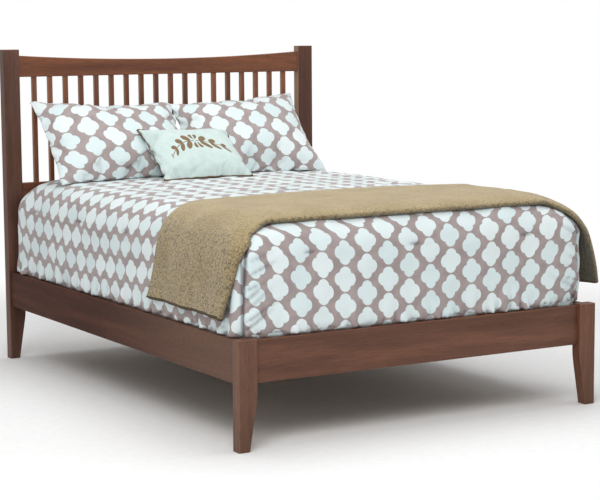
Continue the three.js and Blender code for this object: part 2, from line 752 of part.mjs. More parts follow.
function foundation() {
  const top = foundationBottom + FOUNDATION_HEIGHT;
  return softBlock(0, foundationBottom, top, FOUNDATION_EDGE, FOUNDATION_EDGE);
}

function mattress() {
  return softBlock(0, mattressBottom, mattressTop, BOTTOM_EDGE, MATTRESS_EDGE);
}

// The space that the mattress and the foundation fill inside the comforter
function beddingHollow() {
  const below = HEM_HEIGHT - 2 * BOTTOM_EDGE;
  return softBlock(SEAT, below, mattressTop + SEAT, BOTTOM_EDGE, MATTRESS_EDGE);
}

// The rounded upper edge of the comforter at an angle: 0 is its start, a right angle its top
function edgeInset(angle) {
  return COVER_EDGE_WIDTH * (1 - Math.cos(angle));
}

function edgeHeight(angle) {
  return COVER_EDGE_START + (COVER_EDGE_TOP - COVER_EDGE_START) * Math.sin(angle);
}

// Angle up the rounded edge at a height, none below the edge
function edgeAngle(z) {
  const rise = (z - COVER_EDGE_START) / (COVER_EDGE_TOP - COVER_EDGE_START);
  return Math.asin(THREE.MathUtils.clamp(rise, 0, 1));
}

function edgeCorner(inset) {
  return COVER_CORNER + ((COVER_TOP_CORNER - COVER_CORNER) * inset) / COVER_EDGE_WIDTH;
}

const coverSide = openingHalf + COVER_BULGE_SIDE;
const coverFoot = footRailBack - COVER_BULGE_FOOT;
const coverHead = headPostFront - COVER_HEAD_GAP;
const edgeSide = coverSide - COVER_TAPER;
const edgeFoot = coverFoot + COVER_TAPER;
const crownHalf = edgeSide - COVER_EDGE_WIDTH;
const crownFoot = edgeFoot + COVER_EDGE_WIDTH;
const crownHead = coverHead - COVER_HEAD_EDGE;
const throwFront = coverFoot + THROW_FRONT_INSET;
const throwFlapFront = coverFoot + THROW_FLAP_INSET;
const throwBack = coverFoot + THROW_BACK_INSET;
const releaseAngle = THREE.MathUtils.degToRad(THROW_RELEASE_ANGLE);

// Outer shape of the comforter, grown outwards by a margin: rings from hem to crown
function coverRings(grow) {
  const steps = [COVER_SHORT_STEPS, COVER_LONG_STEPS];
  const ring = (halfX, y0, y1, radius, z) => (
    roundedRing(halfX + grow, y0 - grow, y1 + grow, radius + grow, z, ...steps)
  );
  const tuckedSide = openingHalf - 2 * SEAT;
  const tuckedFoot = footRailBack + 2 * SEAT;
  const overSide = openingHalf + COVER_BULGE_SIDE / 2;
  const overFoot = footRailBack - COVER_BULGE_FOOT / 2;
  const rings = [
    ring(tuckedSide, tuckedFoot, coverHead, COVER_CORNER, HEM_HEIGHT - grow),
    ring(tuckedSide, tuckedFoot, coverHead, COVER_CORNER, railTop),
    ring(overSide, overFoot, coverHead, COVER_CORNER, railTop + COVER_BULGE_START),
    ring(coverSide, coverFoot, coverHead, COVER_CORNER, railTop + COVER_BULGE_RISE),
  ];
  for (let k = 0; k <= COVER_EDGE_STEPS; k += 1) {
    const angle = (Math.PI / 2) * (k / COVER_EDGE_STEPS);
    const inset = edgeInset(angle);
    const headInset = COVER_HEAD_EDGE * (1 - Math.cos(angle));
    const z = edgeHeight(angle) + grow * Math.sin(angle);
    const [y0, y1] = [edgeFoot + inset, coverHead - headInset];
    rings.push(ring(edgeSide - inset, y0, y1, edgeCorner(inset), z));
  }
  for (const share of CROWN_SHARES) {
    const [x, y] = [1 - share, 1 - COVER_RIDGE * share];
    const z = COVER_EDGE_TOP + crownRise(share) + grow;
    rings.push(ring(crownHalf * x, crownFoot * y, crownHead * y, COVER_TOP_CORNER * x, z));
  }
  return rings;
}

// Rise of the crown: share is 0 at the rounded edge and 1 on the ridge
function crownRise(share) {
  return COVER_CROWN * (1 - (1 - share) ** 2);
}

// Height of the comforter's top at a point inside the rounded edge
function crownHeight(x, y) {
  const end = y < 0 ? crownFoot : crownHead;
  const across = 1 - Math.abs(x) / crownHalf;
  const along = (1 - y / end) / COVER_RIDGE;
  return COVER_EDGE_TOP + crownRise(THREE.MathUtils.clamp(Math.min(across, along), 0, 1));
}

function cover(grow) {
  return loft(coverRings(grow));
}

function comforter() {
  return cover(0).subtract(beddingHollow());
}

// A closed slab between two grids of points of the same size, front and back.
// Seen from the front, rows run to the right and columns run up.
function slab(front, back) {
  const rows = front.length;
  const columns = front[0].length;
  const points = [...front.flat(), ...back.flat()];
  const at = (layer, r, c) => layer * rows * columns + r * columns + c;
  const faces = [];
  const quad = (a, b, c, d) => faces.push([a, b, c], [a, c, d]);
  for (let r = 0; r + 1 < rows; r += 1) {
    for (let c = 0; c + 1 < columns; c += 1) {
      quad(at(0, r, c), at(0, r + 1, c), at(0, r + 1, c + 1), at(0, r, c + 1));
      quad(at(1, r, c), at(1, r, c + 1), at(1, r + 1, c + 1), at(1, r + 1, c));
    }
    const last = columns - 1;
    quad(at(0, r, 0), at(1, r, 0), at(1, r + 1, 0), at(0, r + 1, 0));
    quad(at(0, r, last), at(0, r + 1, last), at(1, r + 1, last), at(1, r, last));
  }
  for (let c = 0; c + 1 < columns; c += 1) {
    const last = rows - 1;
    quad(at(0, 0, c), at(0, 0, c + 1), at(1, 0, c + 1), at(1, 0, c));
    quad(at(0, last, c), at(1, last, c), at(1, last, c + 1), at(0, last, c + 1));
  }
  return solidOf(points, faces);
}

// Half width of the comforter's rounded edge at a station y, with its round corner in plan
function edgeHalfWidth(y, angle) {
  const inset = edgeInset(angle);
  const radius = edgeCorner(inset);
  const into = Math.min(radius, Math.max(0, edgeFoot + inset + radius - y));
  return edgeSide - inset - radius + Math.sqrt(radius * radius - into * into);
}

// Highest angle of the rounded edge that a station reaches: less than a right angle near the foot
function edgeReach(y) {
  const inset = Math.min(COVER_EDGE_WIDTH, y - edgeFoot);
  return Math.acos(1 - inset / COVER_EDGE_WIDTH);
}

// The throw has three zones on each side: the top, the part round the comforter's edge, and a
// flap that hangs free. A share of 0 to 1 runs outwards on the top, up the edge and down the
// flap, across runs from the front edge at 0 to the back edge at 1, and lift is the distance
// from the comforter.

function throwStation(front, back, across) {
  return front + (back - front) * across;
}

// How far the throw stands off the comforter where a flap comes free
function throwPuff(side, across) {
  return side < 0 ? 0 : THROW_RIGHT_PUFF * (1 - across) ** THROW_FLARE_FADE;
}

function throwTopPoint(side, share, across, lift) {
  const y = throwStation(throwFront, throwBack, across);
  const reach = edgeReach(y);
  const x = side * edgeHalfWidth(y, reach) * share;
  const z = reach < Math.PI / 2 ? edgeHeight(reach) : crownHeight(x, y);
  return [x, y, z + lift];
}

function throwEdgePoint(side, share, across, lift) {
  const front = throwFlapFront + (throwFront - throwFlapFront) * share;
  const y = throwStation(front, throwBack, across);
  const angle = releaseAngle + (edgeReach(y) - releaseAngle) * share;
  const normal = new THREE.Vector2(
    Math.cos(angle) / COVER_EDGE_WIDTH,
    Math.sin(angle) / (COVER_EDGE_TOP - COVER_EDGE_START),
  ).normalize();
  const off = lift + throwPuff(side, across) * (1 - share) ** 2;
  return [side * (edgeHalfWidth(y, angle) + off * normal.x), y, edgeHeight(angle) + off * normal.y];
}

function throwFlapPoint(side, share, across, lift) {
  const sweep = share ** THROW_SWEEP_BOW;
  const front = throwFlapFront + THROW_FRONT_SWEEP * sweep;
  const y = throwStation(front, throwBack + THROW_BACK_SWEEP * sweep, across);
  const top = edgeHeight(releaseAngle);
  const z = top + (THROW_HEM - top) * share;
  const corner = side < 0 ? THROW_LEFT_FLARE : THROW_RIGHT_FLARE;
  const fade = (1 - across) ** THROW_FLARE_FADE;
  const flare = THROW_BACK_FLARE + (corner - THROW_BACK_FLARE) * fade;
  const wave = Math.sin(THROW_FOLD_COUNT * 2 * Math.PI * across) * THROW_FOLD;
  const puff = throwPuff(side, across) * (1 - share);
  const out = puff + (flare + wave) * share ** THROW_FLARE_BOW;
  return [side * (edgeHalfWidth(y, edgeAngle(z)) + lift + out), y, z];
}

// Rows of points from the left hem over the top to the right hem
function throwGrid(liftAt, flapLift) {
  const half = (side) => {
    const row = (point, share, lift) => (
      THROW_STATIONS.map((across) => point(side, share, across, lift(across)))
    );
    const rows = [];
    for (let k = 1; k <= THROW_TOP_STEPS; k += 1) {
      rows.push(row(throwTopPoint, k / THROW_TOP_STEPS, liftAt));
    }
    for (let k = THROW_EDGE_STEPS - 1; k >= 0; k -= 1) {
      rows.push(row(throwEdgePoint, k / THROW_EDGE_STEPS, liftAt));
    }
    for (let k = 1; k <= THROW_FLAP_STEPS; k += 1) {
      rows.push(row(throwFlapPoint, k / THROW_FLAP_STEPS, () => flapLift));
    }
    return rows;
  };
  const middle = THROW_STATIONS.map((across) => throwTopPoint(1, 0, across, liftAt(across)));
  return [...half(-1).reverse(), middle, ...half(1)];
}

// The folded edges are thinner than the rest, as a rolled fold is
function throwBlanket() {
  const isFold = (across) => across === 0 || across === 1;
  const lift = (across) => (isFold(across) ? THROW_THICKNESS / 2 : THROW_THICKNESS);
  const outer = throwGrid(lift, THROW_THICKNESS);
  const inner = throwGrid(() => -THROW_THICKNESS / 2, 0);
  return slab(outer, inner).subtract(cover(SEAT));
}

// A filled pillow, standing upright and facing the foot end, with its middle on the origin
function pillowBody(shape) {
  const { top, bottom, height, thickness, draw, dip, waist, slant, shift, columns } = shape;
  const face = (sign) => {
    const grid = [];
    for (let c = 0; c <= columns; c += 1) {
      const u = -1 + (2 * c) / columns;
      const line = [];
      for (let r = 0; r <= PILLOW_ROWS; r += 1) {
        const v = -1 + (2 * r) / PILLOW_ROWS;
        const upper = (v + 1) / 2;
        const width = bottom + (top - bottom) * upper;
        const x = u * (width / 2 - waist * (1 - v * v)) + shift * (1 - upper);
        const drawn = (v > 0 ? dip : draw) * (1 - u * u);
        const z = v * (height / 2 - drawn) + slant * u * upper;
        const fullness = ((1 - u * u) * (1 - v * v)) ** PILLOW_FULLNESS;
        line.push([x, sign * (SEAM_THICKNESS / 2 + (thickness / 2) * fullness), z]);
      }
      grid.push(line);
    }
    return grid;
  };
  return slab(face(-1), face(1));
}

// Moves a body along a direction until it would touch the support
function settle(body, support, direction, travel) {
  const moved = (distance) => body.translate(direction.map((value) => value * distance));
  let [clear, touching] = [0, travel];
  for (let k = 0; k < SETTLE_STEPS; k += 1) {
    const middle = (clear + touching) / 2;
    if (moved(middle).intersect(support).volume() > TOUCH_VOLUME) {
      touching = middle;
    } else {
      clear = middle;
    }
  }
  return clear;
}

// Leans a pillow back against the slats and sets it down
function bedPillow(x, { slant, dip, waist }, under) {
  const upright = pillowBody({
    top: PILLOW_TOP_WIDTH,
    bottom: PILLOW_BOTTOM_WIDTH,
    height: PILLOW_HEIGHT,
    thickness: PILLOW_THICKNESS,
    draw: PILLOW_DRAW,
    dip,
    waist,
    slant,
    shift: PILLOW_SHIFT,
    columns: PILLOW_COLUMNS,
  });
  const leaning = upright.rotate([-PILLOW_LEAN, 0, 0]);
  const back = leaning.boundingBox().max[1];
  const start = mattressTop + PILLOW_HEIGHT;
  const placed = leaning.translate([x, slatFront - SEAT - back, start]);
  const drop = settle(placed, under, [0, 0, -1], PILLOW_HEIGHT) + PILLOW_SINK;
  return placed.translate([0, 0, -drop]);
}

// The pillows press on each other, on the comforter and, at the top, on the headboard slats
function pillows() {
  const base = cover(SEAT);
  const rightEdges = {
    slant: PILLOW_RIGHT_SLANT,
    dip: PILLOW_RIGHT_DIP,
    waist: PILLOW_RIGHT_WAIST,
  };
  const leftEdges = { slant: PILLOW_LEFT_SLANT, dip: PILLOW_LEFT_DIP, waist: PILLOW_LEFT_WAIST };
  const right = bedPillow(PILLOW_RIGHT_X, rightEdges, base).subtract(base);
  const neighbour = right.add(right.translate([-SEAT, 0, 0]));
  const left = bedPillow(PILLOW_LEFT_X, leftEdges, base).subtract(base);
  return [left.subtract(neighbour), right];
}

function accentPillow(left, right) {
  const base = cover(SEAT);
  const upright = pillowBody({
    top: ACCENT_WIDTH,
    bottom: ACCENT_WIDTH,
    height: ACCENT_HEIGHT,
    thickness: ACCENT_THICKNESS,
    draw: ACCENT_DRAW,
    dip: ACCENT_DRAW,
    waist: ACCENT_DRAW,
    slant: ACCENT_SLANT,
    shift: 0,
    columns: ACCENT_COLUMNS,
  });
  const leaning = upright.rotate([-ACCENT_LEAN, 0, 0]);
  const start = leaning.translate([ACCENT_X, 0, mattressTop + ACCENT_HEIGHT]);
  const drop = settle(start, base, [0, 0, -1], ACCENT_HEIGHT) + ACCENT_SINK;
  const low = start.translate([0, 0, -drop]);
  const forward = [0, -2 * SEAT, 0];
  const behind = left.add(right).add(left.translate(forward)).add(right.translate(forward));
  const slide = settle(low, behind, [0, 1, 0], slatFront) + ACCENT_PRESS;
  return low.translate([0, slide, 0]).subtract(base).subtract(behind);
}

// The object, one named mesh for each piece

function group(...meshes) {
  const assembly = new THREE.Group();
  assembly.add(...meshes);
  return assembly;
}

const sides = [['left', -1], ['right', 1]];
const ends = [['foot', footPostBack, -1], ['head', headPostFront, 1]];

function headboard() {
  const assembly = group(
    meshOf('head_top_rail', topRail(), material.headRail),
    meshOf('head_middle_rail', middleRail(), material.headRail),
    meshOf('head_stretcher', headStretcher(), material.rail),
  );
  for (const [name, side] of sides) {
    assembly.add(meshOf(`head_post_${name}`, headPost(side), material.post));
  }
  const slat = headSlat();
  for (let i = 0; i < SLAT_COUNT; i += 1) {
    const number = String(i + 1).padStart(2, '0');
    const mesh = meshOf(`head_slat_${number}`, slat, material.slat);
    mesh.position.set(slatX(i), headRailMiddle, 0);
    assembly.add(mesh);
  }
  return assembly;
}

function footboard() {
  const assembly = group(meshOf('foot_rail', footRail(), material.rail));
  for (const [name, side] of sides) {
    assembly.add(meshOf(`foot_post_${name}`, footPost(side), material.post));
  }
  return assembly;
}

function sideRails() {
  const assembly = new THREE.Group();
  for (const [name, side] of sides) {
    assembly.add(meshOf(`side_rail_${name}`, sideRail(side), material.rail));
    assembly.add(meshOf(`cleat_${name}`, cleat(side), material.support));
    for (const [end, y, into] of ends) {
      const [hooks, slots] = [hookPlate(side, y, into), slottedPlate(side, y, into)];
      assembly.add(meshOf(`hook_plate_${end}_${name}`, hooks, material.steel));
      assembly.add(meshOf(`slotted_plate_${end}_${name}`, slots, material.steel));
    }
  }
  return assembly;
}

function support() {
  const assembly = group(
    meshOf('centre_leg', centreLeg(), material.support),
    meshOf('glide_insert', glideInsert(), material.steel),
    meshOf('glide_stud', glideStud(), material.steel),
    meshOf('glide_pad', glidePad(), material.plastic),
  );
  const middle = (BED_SLAT_COUNT - 1) / 2;
  for (let i = 0; i < BED_SLAT_COUNT; i += 1) {
    const slat = i === middle ? middleBedSlat(i) : bedSlat(i);
    assembly.add(meshOf(`bed_slat_${i + 1}`, slat, material.support));
  }
  return assembly;
}

function bedding() {
  const [left, right] = pillows();
  return group(
    meshOf('foundation', foundation(), material.ticking),
    meshOf('mattress', mattress(), material.ticking),
    meshOf('comforter', comforter(), material.print),
    meshOf('throw', throwBlanket(), material.olive),
    meshOf('pillow_left', left, material.print),
    meshOf('pillow_right', right, material.print),
    meshOf('accent_pillow', accentPillow(left, right), material.aqua),
  );
}

const bed = new THREE.Group();
bed.name = 'slatted_bed';
bed.add(headboard(), footboard(), sideRails(), support(), bedding());

export default bed;
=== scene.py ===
# %% [markdown]
# # A slatted bed, dressed
#
# The real object is a wooden bed: four posts, a slatted headboard, a low foot rail and two side
# rails that hook into the posts. On it lie a foundation, a mattress, a tucked-in comforter, a
# throw folded double and three pillows. The wooden and metal parts arrive as finished solids,
# so here they only get their finishes. The soft parts are made again in this file, because
# cloth needs folds, seams and stretch that a plain solid doesn't have.

# %% The fixed frame
import math

import bpy
import numpy as np
from mathutils import Matrix, Vector
from mathutils.bvhtree import BVHTree


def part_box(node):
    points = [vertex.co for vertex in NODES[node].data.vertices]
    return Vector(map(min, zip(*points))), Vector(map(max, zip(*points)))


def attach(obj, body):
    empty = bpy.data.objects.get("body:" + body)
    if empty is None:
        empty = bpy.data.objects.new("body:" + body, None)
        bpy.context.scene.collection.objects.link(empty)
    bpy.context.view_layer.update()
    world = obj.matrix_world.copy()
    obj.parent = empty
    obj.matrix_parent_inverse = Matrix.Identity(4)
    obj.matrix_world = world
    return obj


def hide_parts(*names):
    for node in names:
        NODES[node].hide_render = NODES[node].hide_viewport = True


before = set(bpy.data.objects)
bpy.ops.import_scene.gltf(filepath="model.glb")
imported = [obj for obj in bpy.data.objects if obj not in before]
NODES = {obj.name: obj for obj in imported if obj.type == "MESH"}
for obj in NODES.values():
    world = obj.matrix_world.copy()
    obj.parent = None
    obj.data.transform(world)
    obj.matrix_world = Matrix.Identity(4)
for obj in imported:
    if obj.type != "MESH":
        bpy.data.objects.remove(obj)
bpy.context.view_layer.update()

# %% [markdown]
# ## Camera
#
# The camera stands beyond the left foot corner, a little above the headboard. A long lens keeps
# the far post almost as tall as the near one. The camera is turned by a heading, a tilt and a
# slight roll, one after the other, which is easier to read than a matrix of nine numbers.

# %% Camera
HEADING, TILT, ROLL = (math.radians(a) for a in (30.516, 7.130, -0.3755))
STANDPOINT = (-3.46318, -6.03355, 1.37791)


def placed(name, data):
    """A new object in the scene that shows the data."""
    obj = bpy.data.objects.new(name, data)
    bpy.context.scene.collection.objects.link(obj)
    return obj


lens = bpy.data.cameras.new("camera")
lens.lens, lens.sensor_width, lens.sensor_fit, lens.clip_end = 108.19, 36, "HORIZONTAL", 60
camera = placed("camera", lens)
camera.matrix_world = Matrix.Translation(STANDPOINT)
for angle, axis in ((-HEADING, "Z"), (math.pi / 2 - TILT, "X"), (ROLL, "Z")):
    camera.matrix_world @= Matrix.Rotation(angle, 4, axis)
bpy.context.scene.camera = camera
bpy.context.scene.view_settings.view_transform = "Standard"
print("lens", lens.lens, "mm")

# %% [markdown]
# ## Writing shaders as sums
#
# A procedural finish is a small calculation at every point of a surface. Blender draws it as a
# graph of nodes. Wired by hand, even a short formula takes dozens of links, so the class `Value`
# wraps a socket and lets Python's own signs add the Math nodes. `Nodes` holds one graph and adds
# any other node from its type, its settings and its inputs.

# %% Sums of sockets
class Value:
    """A number that varies over a surface. Arithmetic on it adds Math nodes."""

    def __init__(self, owner, socket):
        self.owner, self.socket = owner, socket

    def math(self, operation, *others):
        values = dict(enumerate((self, *others)))
        return self.owner.add("ShaderNodeMath", {"operation": operation}, values)

    def __rsub__(self, other):
        return self * -1 + other

    def step(self, low, high, bottom=0.0, top=1.0):
        """Runs softly from bottom to top as the value goes from low to high."""
        inputs = {"Value": self, "From Min": low, "From Max": high, "To Min": bottom, "To Max": top}
        return self.owner.add("ShaderNodeMapRange", {"interpolation_type": "SMOOTHSTEP"}, inputs)


OPERATIONS = {
    "__add__": "ADD", "__radd__": "ADD", "__sub__": "SUBTRACT", "__mul__": "MULTIPLY", "__rmul__": "MULTIPLY",
    "__truediv__": "DIVIDE", "__pow__": "POWER", "abs": "ABSOLUTE", "floor": "FLOOR", "fract": "FRACT",
    "sin": "SINE", "root": "SQRT", "least": "MINIMUM", "most": "MAXIMUM",
}
for method, operation in OPERATIONS.items():
    setattr(Value, method, lambda self, *others, operation=operation: self.math(operation, *others))


class Nodes:
    """A graph of nodes. Each call of add makes one node and wires its inputs."""

    def __init__(self, tree):
        self.tree = tree

    def add(self, kind, settings=None, inputs=None, output=0):
        node = self.tree.nodes.new(kind)
        for key, setting in (settings or {}).items():
            setattr(node, key, setting)
        for key, value in (inputs or {}).items():
            if isinstance(value, Value):
                self.tree.links.new(value.socket, node.inputs[key])
            else:
                node.inputs[key].default_value = value
        return Value(self, node.outputs[output]) if node.outputs else None

    def joined(self, x=0.0, y=0.0, z=0.0):
        return self.add("ShaderNodeCombineXYZ", inputs={0: x, 1: y, 2: z})


print("signs that add nodes:", len(OPERATIONS))

# %% [markdown]
# ## A material as a graph
#
# `Finish` is the graph of one material. Its methods are the few nodes that every finish here
# uses: places and directions on the surface, noise, mixed colours, relief and the final shader.
# Colours are written as they look on the screen and turned into linear ones where they are mixed.

# %% Material helpers
def shade(red, green, blue):
    """A screen colour of 0 to 255 as the linear colour that shaders use."""
    def linear(c):
        c = c / 255
        return c / 12.92 if c <= 0.04045 else ((c + 0.055) / 1.055) ** 2.4
    return (linear(red), linear(green), linear(blue), 1.0)


class Finish(Nodes):
    """One material, or the world, and the nodes in it."""

    def __init__(self, name, block=None):
        self.material = block or bpy.data.materials.new(name)
        self.material.use_nodes = True
        super().__init__(self.material.node_tree)
        self.tree.nodes.clear()

    def place(self):
        return self.add("ShaderNodeTexCoord", output="Object")

    def facing(self):
        """The three parts of the direction in which the surface faces."""
        return self.split(self.add("ShaderNodeNewGeometry", output=1))

    def flat(self):
        """The piece's own cloth coordinates, in metres."""
        return self.add("ShaderNodeUVMap", {"uv_map": "cloth"})

    def stored(self, name):
        """A value from 0 to 1 that the mesh carries at each point."""
        return self.add("ShaderNodeAttribute", {"attribute_name": name}, output=2)

    def vector(self, operation, *values):
        return self.add("ShaderNodeVectorMath", {"operation": operation}, dict(enumerate(values)))

    def split(self, vector):
        node = self.add("ShaderNodeSeparateXYZ", inputs={0: vector}).socket.node
        return [Value(self, output) for output in node.outputs]

    def moved(self, vector, scale, shift=(0, 0, 0)):
        return self.add("ShaderNodeMapping", inputs={"Vector": vector, "Location": shift, "Scale": scale})

    def noise(self, vector, scale, detail=2.0, roughness=0.5, warp=0.0):
        inputs = {"Vector": vector, "Scale": scale, "Detail": detail}
        inputs |= {"Roughness": roughness, "Distortion": warp}
        return self.add("ShaderNodeTexNoise", inputs=inputs)

    def threads(self, vector, warp, weft, scale):
        """Noise squeezed along two directions, as the threads of a woven cloth run."""
        first, second = (self.noise(self.moved(vector, way), scale) for way in (warp, weft))
        return first * 0.5 + second * 0.5

    def chance(self, dimensions, **inputs):
        """One random number for each whole value of the input."""
        return self.add("ShaderNodeTexWhiteNoise", {"noise_dimensions": dimensions}, inputs)

    def mix(self, share, *colours):
        """Blends two colours, each a screen colour of three numbers or already linear."""
        pair = (shade(*c) if isinstance(c, tuple) and len(c) == 3 else c for c in colours)
        inputs = {0: share, **dict(zip((6, 7), pair))}
        return self.add("ShaderNodeMix", {"data_type": "RGBA"}, inputs, output=2)

    def layered(self, colour, *layers):
        """Mixes tones over a colour one after the other, each with its share."""
        for share, tone in layers:
            colour = self.mix(share, colour, tone)
        return colour

    def tinted(self, share, colour, factor):
        """Multiplies the colour by a factor for red, green and blue, as far as share says."""
        return self.mix(share, colour, self.vector("MULTIPLY", colour, factor))

    def bump(self, height, distance, strength=1.0):
        inputs = {"Height": height, "Distance": distance, "Strength": strength}
        return self.add("ShaderNodeBump", inputs=inputs)

    def surface(self, **inputs):
        named = {key.replace("_", " "): value for key, value in inputs.items()}
        shader = self.add("ShaderNodeBsdfPrincipled", inputs=named)
        self.add("ShaderNodeOutputMaterial", inputs={"Surface": shader})
        return self.material


print("middle grey is", round(shade(128, 128, 128)[0], 3))

# %% [markdown]
# ## Floor and light
#
# A studio shows furniture on a sweep of white paper. The floor is a plain pale disc that keeps
# the bed's shadow close by and fades into a white glow further out, so no horizon shows. One
# large lamp stands high on the left, a second hangs above the bed, a weak one stands on the
# right, and the world fills the rest.

# %% Floor
FLOOR_RADIUS = 22
WHITE = (1, 1, 1, 1)


def pale_floor():
    finish = Finish("floor_paper")
    x, y, _ = finish.split(finish.place())
    far = (x * x + y * y).root().step(1.9, 3.4)
    grain = finish.noise(finish.place(), 30, 3).step(0.3, 0.7, 0.93, 0.96)
    paper = finish.add("ShaderNodeBsdfDiffuse", inputs={"Color": finish.joined(grain, grain, grain)})
    glow = finish.add("ShaderNodeEmission", inputs={"Color": WHITE, "Strength": 1.0})
    seen = finish.add("ShaderNodeLightPath", output="Is Camera Ray")
    mixed = finish.add("ShaderNodeMixShader", inputs={0: far * seen, 1: paper, 2: glow})
    finish.add("ShaderNodeOutputMaterial", inputs={"Surface": mixed})
    return finish.material


bpy.ops.mesh.primitive_circle_add(
    vertices=96, radius=FLOOR_RADIUS, fill_type="TRIFAN", location=(0, 0, -0.0005))
floor = bpy.context.object
floor.name = "floor"
floor.data.materials.append(pale_floor())
print("floor radius", FLOOR_RADIUS, "m")

# %% Lamps and world
def lamp(name, place, target, size, power):
    light = bpy.data.lights.new(name, "AREA")
    light.size, light.energy = size, power
    turn = (Vector(target) - Vector(place)).to_track_quat("-Z", "Y")
    placed(name, light).matrix_world = Matrix.Translation(place) @ turn.to_matrix().to_4x4()


lamp("key", (-2.9, -3.7, 4.0), (0, -0.2, 0.6), 2.6, 145)
lamp("top", (0.4, 0.4, 4.6), (0, 0, 0.7), 3.4, 95)
lamp("edge", (3.4, -2.6, 2.2), (0, 0, 0.7), 2.0, 12)


def white_world(fill):
    """White where it is seen, mirrored or seen through, and dimmer where it only gives light."""
    world = Finish("studio", bpy.data.worlds.new("studio"))
    seen, mirrored, through = (world.add("ShaderNodeLightPath", output=f"Is {kind} Ray")
                               for kind in ("Camera", "Glossy", "Transmission"))
    shown = seen.most(mirrored).most(through)
    strength = world.add("ShaderNodeMapRange", inputs={"Value": shown, "To Min": fill, "To Max": 1.0})
    background = world.add("ShaderNodeBackground", inputs={"Color": WHITE, "Strength": strength})
    world.add("ShaderNodeOutputWorld", inputs={"Surface": background})
    bpy.context.scene.world = world.material


white_world(0.42)

# %% [markdown]
# ## Stained wood
#
# The bed is a close-grained hardwood under a red-brown stain and a satin lacquer. Grain runs
# along each board, so the noise is squeezed across the board and stretched along it. Broad
# figure, growth lines, fine streaks and pores are laid over each other. The eased edges are
# painted lighter, partly as stain rubbed through and partly as a painted highlight. Some boards
# also get painted light on their faces towards -X, and the side rails a painted sheen towards the
# foot end. The lacquer is a thin clear coat, which gives the soft shine without hiding the grain.

# %% Wood finish
ALONG = {"x": (0.07, 1, 1), "y": (1, 0.07, 1), "z": (1, 1, 0.07)}


def wood(name, along, dark, light, shift=(0, 0, 0), steps=None, gloss=0.32, painted_light_side=0.0, painted_foot_sheen=0.0):
    """A stained board. steps is the pitch of pieces side by side in X that differ in colour.
    The last two shares paint light: one on the faces that look towards -X, one as a lighter
    sheen towards the foot end."""
    finish = Finish(name)
    board = place = finish.place()
    tone = 0.0
    if steps:
        number = (finish.split(place)[0] / steps).floor()
        tone = finish.chance("1D", W=number) * 0.34 - 0.17
        board = finish.vector("ADD", place, finish.joined(0.0, number * 0.37, number * 1.7))
    stretched = finish.moved(board, ALONG[along], shift)
    figure = finish.noise(stretched, 16, 5, 0.55, 0.5)
    rings = (finish.noise(stretched, 7, 2, 0.45, 0.3) * 46).sin() * 0.5 + 0.5
    streaks = finish.noise(stretched, 210, 3, 0.6)
    pores = finish.noise(stretched, 620, 2, 0.5).step(0.56, 0.68)
    share = (figure - 0.5) * 1.2 + 0.5 + (streaks - 0.5) * 0.6 - rings * 0.12 + tone
    colour = finish.mix(share.step(0.05, 0.95), dark, light)
    patches = finish.noise(stretched, 2.6, 2, 0.4, 0.4).step(0.50, 0.72)
    colour = finish.tinted(patches * 0.34, colour, (1.32, 1.08, 0.72))
    sideways, depthways, upwards = finish.facing()
    square = sideways.abs().most(depthways.abs()).most(upwards.abs())
    # Painted highlight on the eased edges, together with stain rubbed through there.
    colour = finish.tinted(square.step(0.80, 0.97, 0.42, 0.0), colour, (1.9, 1.8, 1.7))
    # Painted light on the faces that look towards -X.
    if painted_light_side:
        colour = finish.mix(sideways.step(-0.95, -0.75, 1.0, 0.0) * painted_light_side, colour, (196, 158, 128))
    # Painted sheen: the colour grows lighter towards the foot end.
    if painted_foot_sheen:
        sheen_share = finish.split(place)[1].step(-1.0, 0.3, painted_foot_sheen, 0.0)
        colour = finish.mix(sheen_share, colour, (150, 122, 106))
    deep = tuple(c * 0.55 for c in shade(*dark)[:3]) + (1.0,)
    colour = finish.mix(pores * 0.4, colour, deep)
    return finish.surface(
        Base_Color=colour,
        Roughness=0.42 + streaks * 0.14 + pores * 0.1,
        Specular_IOR_Level=gloss,
        Normal=finish.bump(streaks * 0.5 - pores * 0.8, 0.0004, 0.35),
        Coat_Weight=gloss * 0.25,
        Coat_Roughness=0.3,
    )


print("grain runs", round(1 / ALONG["x"][0]), "times longer than it is wide")

# %% [markdown]
# ## Which board gets which stain
#
# Each kind of board has its own pair of dark and light tones. In part these are planks that take
# the stain differently, and in part painted shade: the head posts, the right one darkest, and the
# side rails get darker tones where they lie in shade. A table keeps them side by side: the
# direction of the grain, the two tones, what else is special and the pieces that wear it.

# %% Stains
def dress(material, *names):
    for name in names:
        for slot in NODES[name].material_slots:
            slot.material = material


def sides(stem):
    return [f"{stem}_left", f"{stem}_right"]


def named(stem):
    return [name for name in NODES if name.startswith(stem)]


slat_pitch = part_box("head_slat_02")[0].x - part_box("head_slat_01")[0].x
# Painted shade: the head posts and side rails get darker tones than the foot posts and foot rail, the right
# head post the darkest.
STAINS = (
    ("foot_post", "z", (78, 50, 36), (122, 83, 62), {}, sides("foot_post")),
    ("head_post", "z", (70, 44, 33), (111, 74, 57), {}, ["head_post_left"]),
    ("dark_post", "z", (60, 34, 24), (95, 58, 43), {"shift": (2, 0, 0), "painted_light_side": 0.5}, ["head_post_right"]),
    ("side_rail", "y", (54, 28, 18), (90, 52, 38), {"shift": (0, 3, 0), "gloss": 0.06, "painted_foot_sheen": 0.36},
     sides("side_rail")),
    ("foot_rail", "x", (80, 48, 33), (121, 79, 58), {"shift": (5, 0, 0)}, ["foot_rail", "head_stretcher"]),
    ("head_rail", "x", (86, 48, 31), (138, 84, 54), {"shift": (9, 0, 0)},
     ["head_top_rail", "head_middle_rail"]),
    ("slat", "z", (84, 46, 31), (142, 88, 58), {"steps": slat_pitch, "painted_light_side": 0.3}, named("head_slat")),
)
